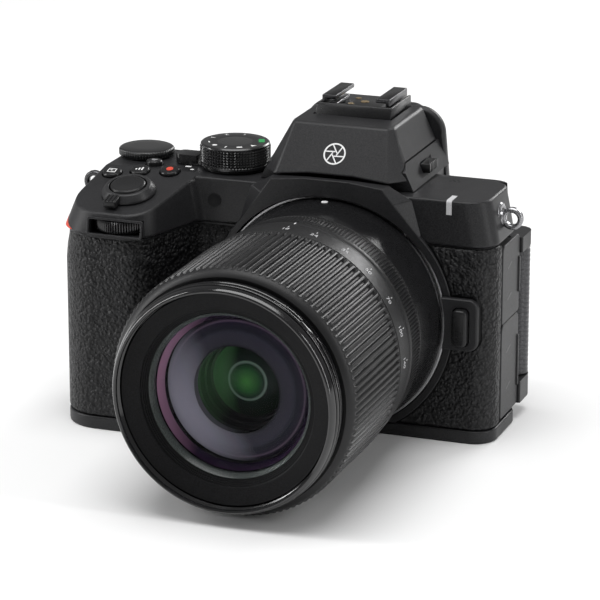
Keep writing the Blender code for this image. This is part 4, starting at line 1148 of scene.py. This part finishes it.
def dials():
    """The main and sub command dials, and the lever under the mode dial."""
    profile = [(0, -4.5, 0), (3.0, -4.5, 0), (3.0, 0.4, 0), (8.0, 0.4, 0), (8.35, 0.6, 0.6), (8.5, 0.8, 1),
               (8.5, 2.1, 1), (8.3, 2.45, 0.6), (8.0, 2.7, 0), (7.4, 2.9, 0), (4.0, 3.0, 0), (0, 3.0, 0)]
    knob = ribbed(profile, 60, 0.35, SOFT_RIB, aim(UP, (-66.0, 1.0, DECK_Z)))
    piece("main_dial_knob", knob, GLOSS, "main_command_dial", sharp=40)
    profile = [(0, -1.9, 0), (7.9, -1.9, 0), (8.3, -1.75, 0.5), (8.5, -1.4, 1), (8.5, 1.4, 1),
               (8.3, 1.75, 0.5), (7.9, 1.9, 0), (0, 1.9, 0)]
    wheel = ribbed(profile, 66, 0.36, SOFT_RIB, aim(UP, middle("sub_command_dial")))
    piece("sub_dial_wheel", wheel, GLOSS, "sub_command_dial", sharp=40)
    low, high = UP * 0.3, UP * 0.7
    lever = as_object("photo_video_arm", rod(DIAL_CENTRE + low, DIAL_CENTRE + high, 9.6, 72), FINE)
    x, y = DIAL_CENTRE.x, DIAL_CENTRE.y
    grip = rectangle((x - 18.6, y - 3.0), (x - 11.2, y + 3.0), (2.0, 0.6, 0.6, 2.0), 6)
    grip = prism(grip, DECK_Z + 0.3, DECK_Z + 3.2)
    arm = box(DIAL_CENTRE + Vector((-17, -3, 0)) + low, DIAL_CENTRE + Vector((-9, 3, 0)) + high)
    combined(lever, [arm, grip], "UNION")
    combined(lever, [rod(DIAL_CENTRE - UP, DIAL_CENTRE + UP * 3, 3.4)])
    fit(smooth(bevelled(lever, 0.3)), "photo_video_lever")


def deck_marks():
    """The top's small marks, the focus lamp, the speaker's holes and the plain emblem on the hump."""
    shoulder_line()
    flat = Matrix.Translation((-47.5, -9.5, DECK_Z + 0.01))
    mark("still_sign", bar(1.8, 1.2, (-1.5, 2.2)), flat, WHITE, "top_cover")
    mark("film_sign", disc(0.6, (0.8, -0.6)), flat, WHITE, "top_cover")
    profile = [(0, 0.15), (1.5, 0.05), (1.75, 0.2), (2.1, 0.2), (2.2, -0.3), (0, -0.3)]
    place = (-36.8, BODY_FRONT, 67.3)
    turned("focus_lamp", "top_cover", profile, place, FRONT, MATTE, replaces=False, soft=0, steps=40)
    deck = Matrix.Translation((0, 0, DECK_Z))
    for k, centre in enumerate(((30, 4), (31.4, 4), (32.8, 4), (30.7, 5.2), (32.1, 5.2))):
        mark(f"speaker_hole_{k}", disc(0.35, centre, 12), deck, MATTE, "top_cover", 0.05)
    iris, normal = Vector((0, -13.97, 84.0)), Vector((0, -13.2, 9.5)).normalized()
    face = Matrix.Translation(iris + normal * 0.05)
    face = face @ Matrix.Rotation(math.radians(90) - math.atan2(normal.z, -normal.y), 4, "X")
    framed_mark("iris_sign", disc(3.4, steps=48), disc(2.95, steps=48), face, "flash_head", 0.1)
    blade = Matrix.Translation((1.3, 0.9, 0)) @ Matrix.Rotation(math.radians(62), 4, "Z")
    for k in range(6):
        place = face @ Matrix.Rotation(math.tau * k / 6, 4, "Z") @ blade
        mark(f"iris_blade_{k}", bar(3.0, 0.36), place, WHITE, "flash_head", 0.08)


def shoulder_line():
    """The index line that runs from the deck over the shoulder's rounded edge and down its front."""
    proud, edge, x, half_width = 0.12, 0.7, 36.3, 0.8
    centre = Vector((BODY_FRONT + edge, DECK_Z - edge))
    path = [(Vector((-11.4, DECK_Z)), Vector((0, 1)))]
    for a in (0.0, 0.26, 0.52, 0.79, 1.05, 1.31):
        out = Vector((-math.sin(a), math.cos(a)))
        path.append((centre + out * edge, out))
    path += [(Vector((BODY_FRONT, z)), Vector((-1, 0))) for z in (DECK_Z - edge, 69.8)]
    corners = ((-half_width, -0.3), (half_width, -0.3), (half_width, proud), (-half_width, proud))
    rings = [[(x + dx, *(spot + out * lift)) for dx, lift in corners] for spot, out in path]
    sign("shoulder_line", loft(rings), PALE, "top_cover")


def lugs():
    """The strap lugs: a turned boss and an eye."""
    for side, node, neck, steel in ((-1, "strap_lug_grip_side", 3.8, DARK_STEEL),
                                    (1, "strap_lug_port_side", 3.2, LUG_STEEL)):
        low, high = span(node)
        inner_x, outer_x = (high.x, low.x) if side < 0 else (low.x, high.x)
        centre = middle(node)
        boss = [(0, 0), (4.5, 0), (4.5, neck - 1.2), (4.2, neck - 0.7), (3.6, neck - 0.5), (3.1, neck - 0.9),
                (2.4, neck - 0.9), (2.2, neck), (0, neck)]
        turned(f"{node}_boss", node, boss, (inner_x, centre.y, centre.z), (side, 0, 0), steel)
        hoop = [(1.8, -0.7), (2.1, -1.1), (2.9, -1.1), (3.4, -0.6), (3.4, 0.6), (2.9, 1.1), (2.1, 1.1),
                (1.8, 0.7)]
        eye = (outer_x - 3.4 * side, centre.y, centre.z)
        turned(f"{node}_eye", node, hoop, eye, BACK, steel, replaces=False, soft=0.2)


# ---------------------------------------------------------------- covers, monitor and back

def ports():
    """Soft covers with raised finger tabs and moulded signs, and the sockets behind them."""
    slant = Matrix.Rotation(math.radians(18), 4, "X")
    for node in ("port_cover_upper", "port_cover_lower"):
        low, high = span(node)
        flap = prism(rectangle((low.y, low.z), (high.y, high.z), (1, 1, 2, 2), 6), low.x, high.x, "YZ")
        flap = smooth(bevelled(as_object(f"{node}_flap", flap, SOFT), 0.35))
        fit(levelled(flap), node)
        for k in range(2):
            z = low.z + (high.z - low.z) * (0.3 + 0.4 * k)
            ridge = box((high.x - 0.1, -2.6, z - 0.25), (high.x + 0.06, 1.8, z + 0.25), slant)
            ridge = as_object(f"{node}_sign_{k}", ridge, PRINTED)
            fit(bevelled(ridge, 0.04, 2), node, replaces=False)
        tab = box((high.x - 0.4, high.y - 1.5, low.z + 6), (high.x + 0.45, high.y - 0.4, high.z - 7))
        piece(f"{node}_tab", tab, SOFT, node, replaces=False, bevel=0.2)
    carried("connector_block", MATTE)
    for k, (z_low, z_high) in enumerate(((11, 20), (24, 31), (38, 42.5), (46, 54))):
        shell = rectangle((-1.3, z_low + 0.2), (4.3, z_high - 0.2), 1, 5)
        lining = as_object(f"socket_lining_{k}", prism(shell, 43.2, 48.1, "YZ"), STEEL)
        combined(lining, [prism(inset_points(shell, 0.35), 43.5, 50, "YZ")])
        fit(smooth(lining), "connector_block", replaces=False)


def inset_points(points, distance):
    """A convex outline's points drawn towards its middle by a distance."""
    centre = sum(points, Vector((0, 0))) / len(points)
    return [p + (centre - p).normalized() * distance for p in points]


def monitor():
    """The swinging monitor: its frame, its pane and the ribbed hinge barrel with its arm."""
    low, high = span("monitor_frame")
    outline = rectangle((low.x, low.z), (high.x, high.z), (3, 2, 2, 3))
    shell = bevelled(as_object("monitor_shell", prism(outline, low.y, high.y, "XZ"), PAINT), 1.1, 4)
    combined(shell, [box((-25.2, 20.0, 8.2), (38.5, 25, 53.8))])
    fit(levelled(smooth(shell, 30)), "monitor_frame")
    low, high = span("monitor_screen")
    pane = prism(rectangle((low.x, low.z), (high.x, high.z), 0.8, 5), low.y, high.y - 0.02, "XZ")
    piece("monitor_pane", pane, SCREEN, "monitor_screen", bevel=0.15, segments=2)
    low, high = span("monitor_hinge")
    radius, grooves, edge, depth = 4.2, 26, 0.3, 0.12
    pitch = (high.z - low.z - 1.0) / grooves
    profile = [(0, low.z), (radius - edge, low.z), (radius, low.z + edge)]
    for k in range(grooves):
        z = low.z + 0.5 + pitch * k
        profile += [(radius, z), (radius, z + pitch * 0.6), (radius - depth, z + pitch * 0.75),
                    (radius - depth, z + pitch * 0.9)]
    profile += [(radius, high.z - edge), (radius - edge, high.z), (0, high.z)]
    grey = paint("hinge_grey", (0.05, 0.05, 0.053), 0.34, 0.3, 0.006)
    axis = (46.6, 18.2, 0)
    turned("monitor_hinge_barrel", "monitor_hinge", profile, axis, UP, grey, soft=0, steps=72, sharp=30)
    arm = box((41.5, 14.6, 14.0), (45.0, 19.6, 50.0))
    piece("monitor_hinge_arm", arm, PAINT, "monitor_hinge", replaces=False, bevel=0.4, segments=2)


def back():
    """The rear cover, its buttons and the thumb rest."""
    carried("rear_cover", PAINT, 0.35)
    radius = 3.0
    profile = [(0, -1.5), (radius, -1.5), (radius, 0.4), (radius - 0.3, 0.8), (radius - 0.7, 0.9), (0, 0.8)]
    for node in ("menu_button", "playback_button", "delete_button"):
        centre = middle(node)
        turned(f"{node}_key", node, profile, (centre.x, BODY_BACK, centre.z), BACK, FINE, soft=0.12)
    arrow = [(0.9, -1.1), (-1.1, 0), (0.9, 1.1)]
    can = [(-0.8, -1.1), (0.8, -1.1), (1.0, 0.9), (-1.0, 0.9)]
    signs = [("menu_button", f"menu_button_line_{k}", bar(2.4, 0.28, (0, 0.6 - 0.6 * k))) for k in range(3)]
    signs += [("playback_button", "playback_sign", arrow), ("delete_button", "delete_sign", can)]
    for node, name, outline in signs:
        centre = middle(node)
        outline = [(centre.x + x, centre.z + z) for x, z in outline]
        sign(name, prism(outline, BODY_BACK + 0.78, BODY_BACK + 0.86, "XZ"), WHITE, node)
    spot = middle("multi_selector")
    centre = Vector((spot.x, BODY_BACK, spot.z))
    pad = [(3.7, -1.3), (4.7, -1.3), (4.7, 0.5), (9.4, 0.5), (9.6, 0.8), (9.5, 1.4), (9.1, 1.75), (8.4, 1.8),
           (6.0, 1.25), (4.2, 1.15), (3.7, 1.0)]
    turned("selector_pad_ring", "multi_selector", pad, centre, BACK, FINE, soft=0.12, steps=72)
    for k in range(4):
        turn = math.tau * k / 4
        at = centre + Vector((7.7 * math.sin(turn), 1.72, 7.7 * math.cos(turn)))
        tip = prism([(-0.7, -0.4), (0.7, -0.4), (0, 0.6)], -0.05, 0.05, "XZ")
        moved(tip, Matrix.Translation(at) @ Matrix.Rotation(turn, 4, "Y"))
        sign(f"selector_arrow_{k}", tip, WHITE, "multi_selector")
    key = [(0, -1.3), (3.3, -1.3), (3.3, 1.1), (3.0, 1.45), (2.6, 1.5), (0, 1.3)]
    turned("ok_key_cap", "ok_button", key, centre, BACK, FINE, soft=0.12)
    foot = rounded([(-73.5, 50.0, 4), (-50.5, 53.5, 3), (-50.5, 70.5, 3), (-73.5, 70.5, 4)], 8)
    crest = rounded([(-71.8, 55.0, 3), (-64.0, 56.0, 3), (-64.0, 68.8, 3), (-71.8, 68.8, 3)], 8)
    rings = []
    for rise, mix in ((0.3, 0.0), (1.0, 0.0), (2.4, 0.35), (3.6, 0.7), (4.2, 0.9), (4.45, 1.0)):
        outline = [f.lerp(c, mix) for f, c in zip(foot, crest)]
        rings.append([(p[0], BODY_BACK + rise, p[1]) for p in outline])
    piece("thumb_rest_pad", loft(rings), LEATHER, "thumb_rest", sharp=50)


def inner_pieces():
    """The pieces inside the body, kept as they are in the frame."""
    for node in ("chassis_frame", "shutter_unit"):
        carried(node, metal(f"{node}_alloy", (0.35, 0.36, 0.38), 0.4))
    carried("image_sensor", SCREEN)
    carried("main_board", BOARD)
    carried("battery", FINE)


# ---------------------------------------------------------------- floor, light and camera

def stage():
    """The pale floor, the even sky and four soft lamps."""
    floor = bmesh.new()
    bmesh.ops.create_grid(floor, x_segments=1, y_segments=1, size=4000)
    as_object("studio_floor", floor, Shader("pale_floor", (0.86, 0.86, 0.86), 0.7).material)
    world = bpy.data.worlds.new("studio")
    world.use_nodes = True
    background = world.node_tree.nodes["Background"]
    background.inputs["Color"].default_value = (1.0, 1.0, 1.0, 1.0)
    background.inputs["Strength"].default_value = 0.25
    bpy.context.scene.world = world
    aimed_at = Vector((0, -30, 50))
    lamps = (("top_light", (0, -250, 1700), 1500, 1200, 26.0),
             ("left_light", (-900, -300, 420), 140, 900, 5.5),
             ("right_light", (1000, -150, 420), 90, 900, 3.2),
             ("back_light", (420, 1300, 620), 700, 450, 9.0))
    for name, place, width, height, power in lamps:
        data = bpy.data.lights.new(name, "AREA")
        data.shape = "RECTANGLE"
        data.size, data.size_y, data.energy = width * MM, height * MM, power
        placed(name, data, Vector(place), aimed_at)


def placed(name, data, place, aimed_at):
    """A lamp or camera at a place, looking at a point."""
    obj = bpy.data.objects.new(name, data)
    obj.location = place * MM
    obj.rotation_euler = (aimed_at - place).to_track_quat("-Z", "Y").to_euler()
    bpy.context.scene.collection.objects.link(obj)
    return obj


def camera():
    """A long lens from the front right, a little above the camera's top."""
    azimuth, elevation, distance = math.radians(20.2), math.radians(17.33), 949.5
    target, flat = Vector((-1.23, -40.0, 46.66)), math.cos(elevation)
    away = Vector((math.sin(azimuth) * flat, -math.cos(azimuth) * flat, math.sin(elevation)))
    data = bpy.data.cameras.new("camera")
    data.lens, data.sensor_width = 196.8, 36.0
    data.clip_start, data.clip_end = 0.05, 50.0
    bpy.context.scene.camera = placed("camera", data, target + away * distance, target)


bpy.context.scene.view_settings.view_transform = "Standard"
for make in (camera, stage, zoom_ring, control_ring, zoom_scale, rear_barrel, front_barrel, glass, skins,
             base, top, surround, flash, finder, shoe, shutter, top_buttons, mode_dial, dials, deck_marks,
             lugs, ports, monitor, back, inner_pieces):
    make()
bpy.context.view_layer.update()
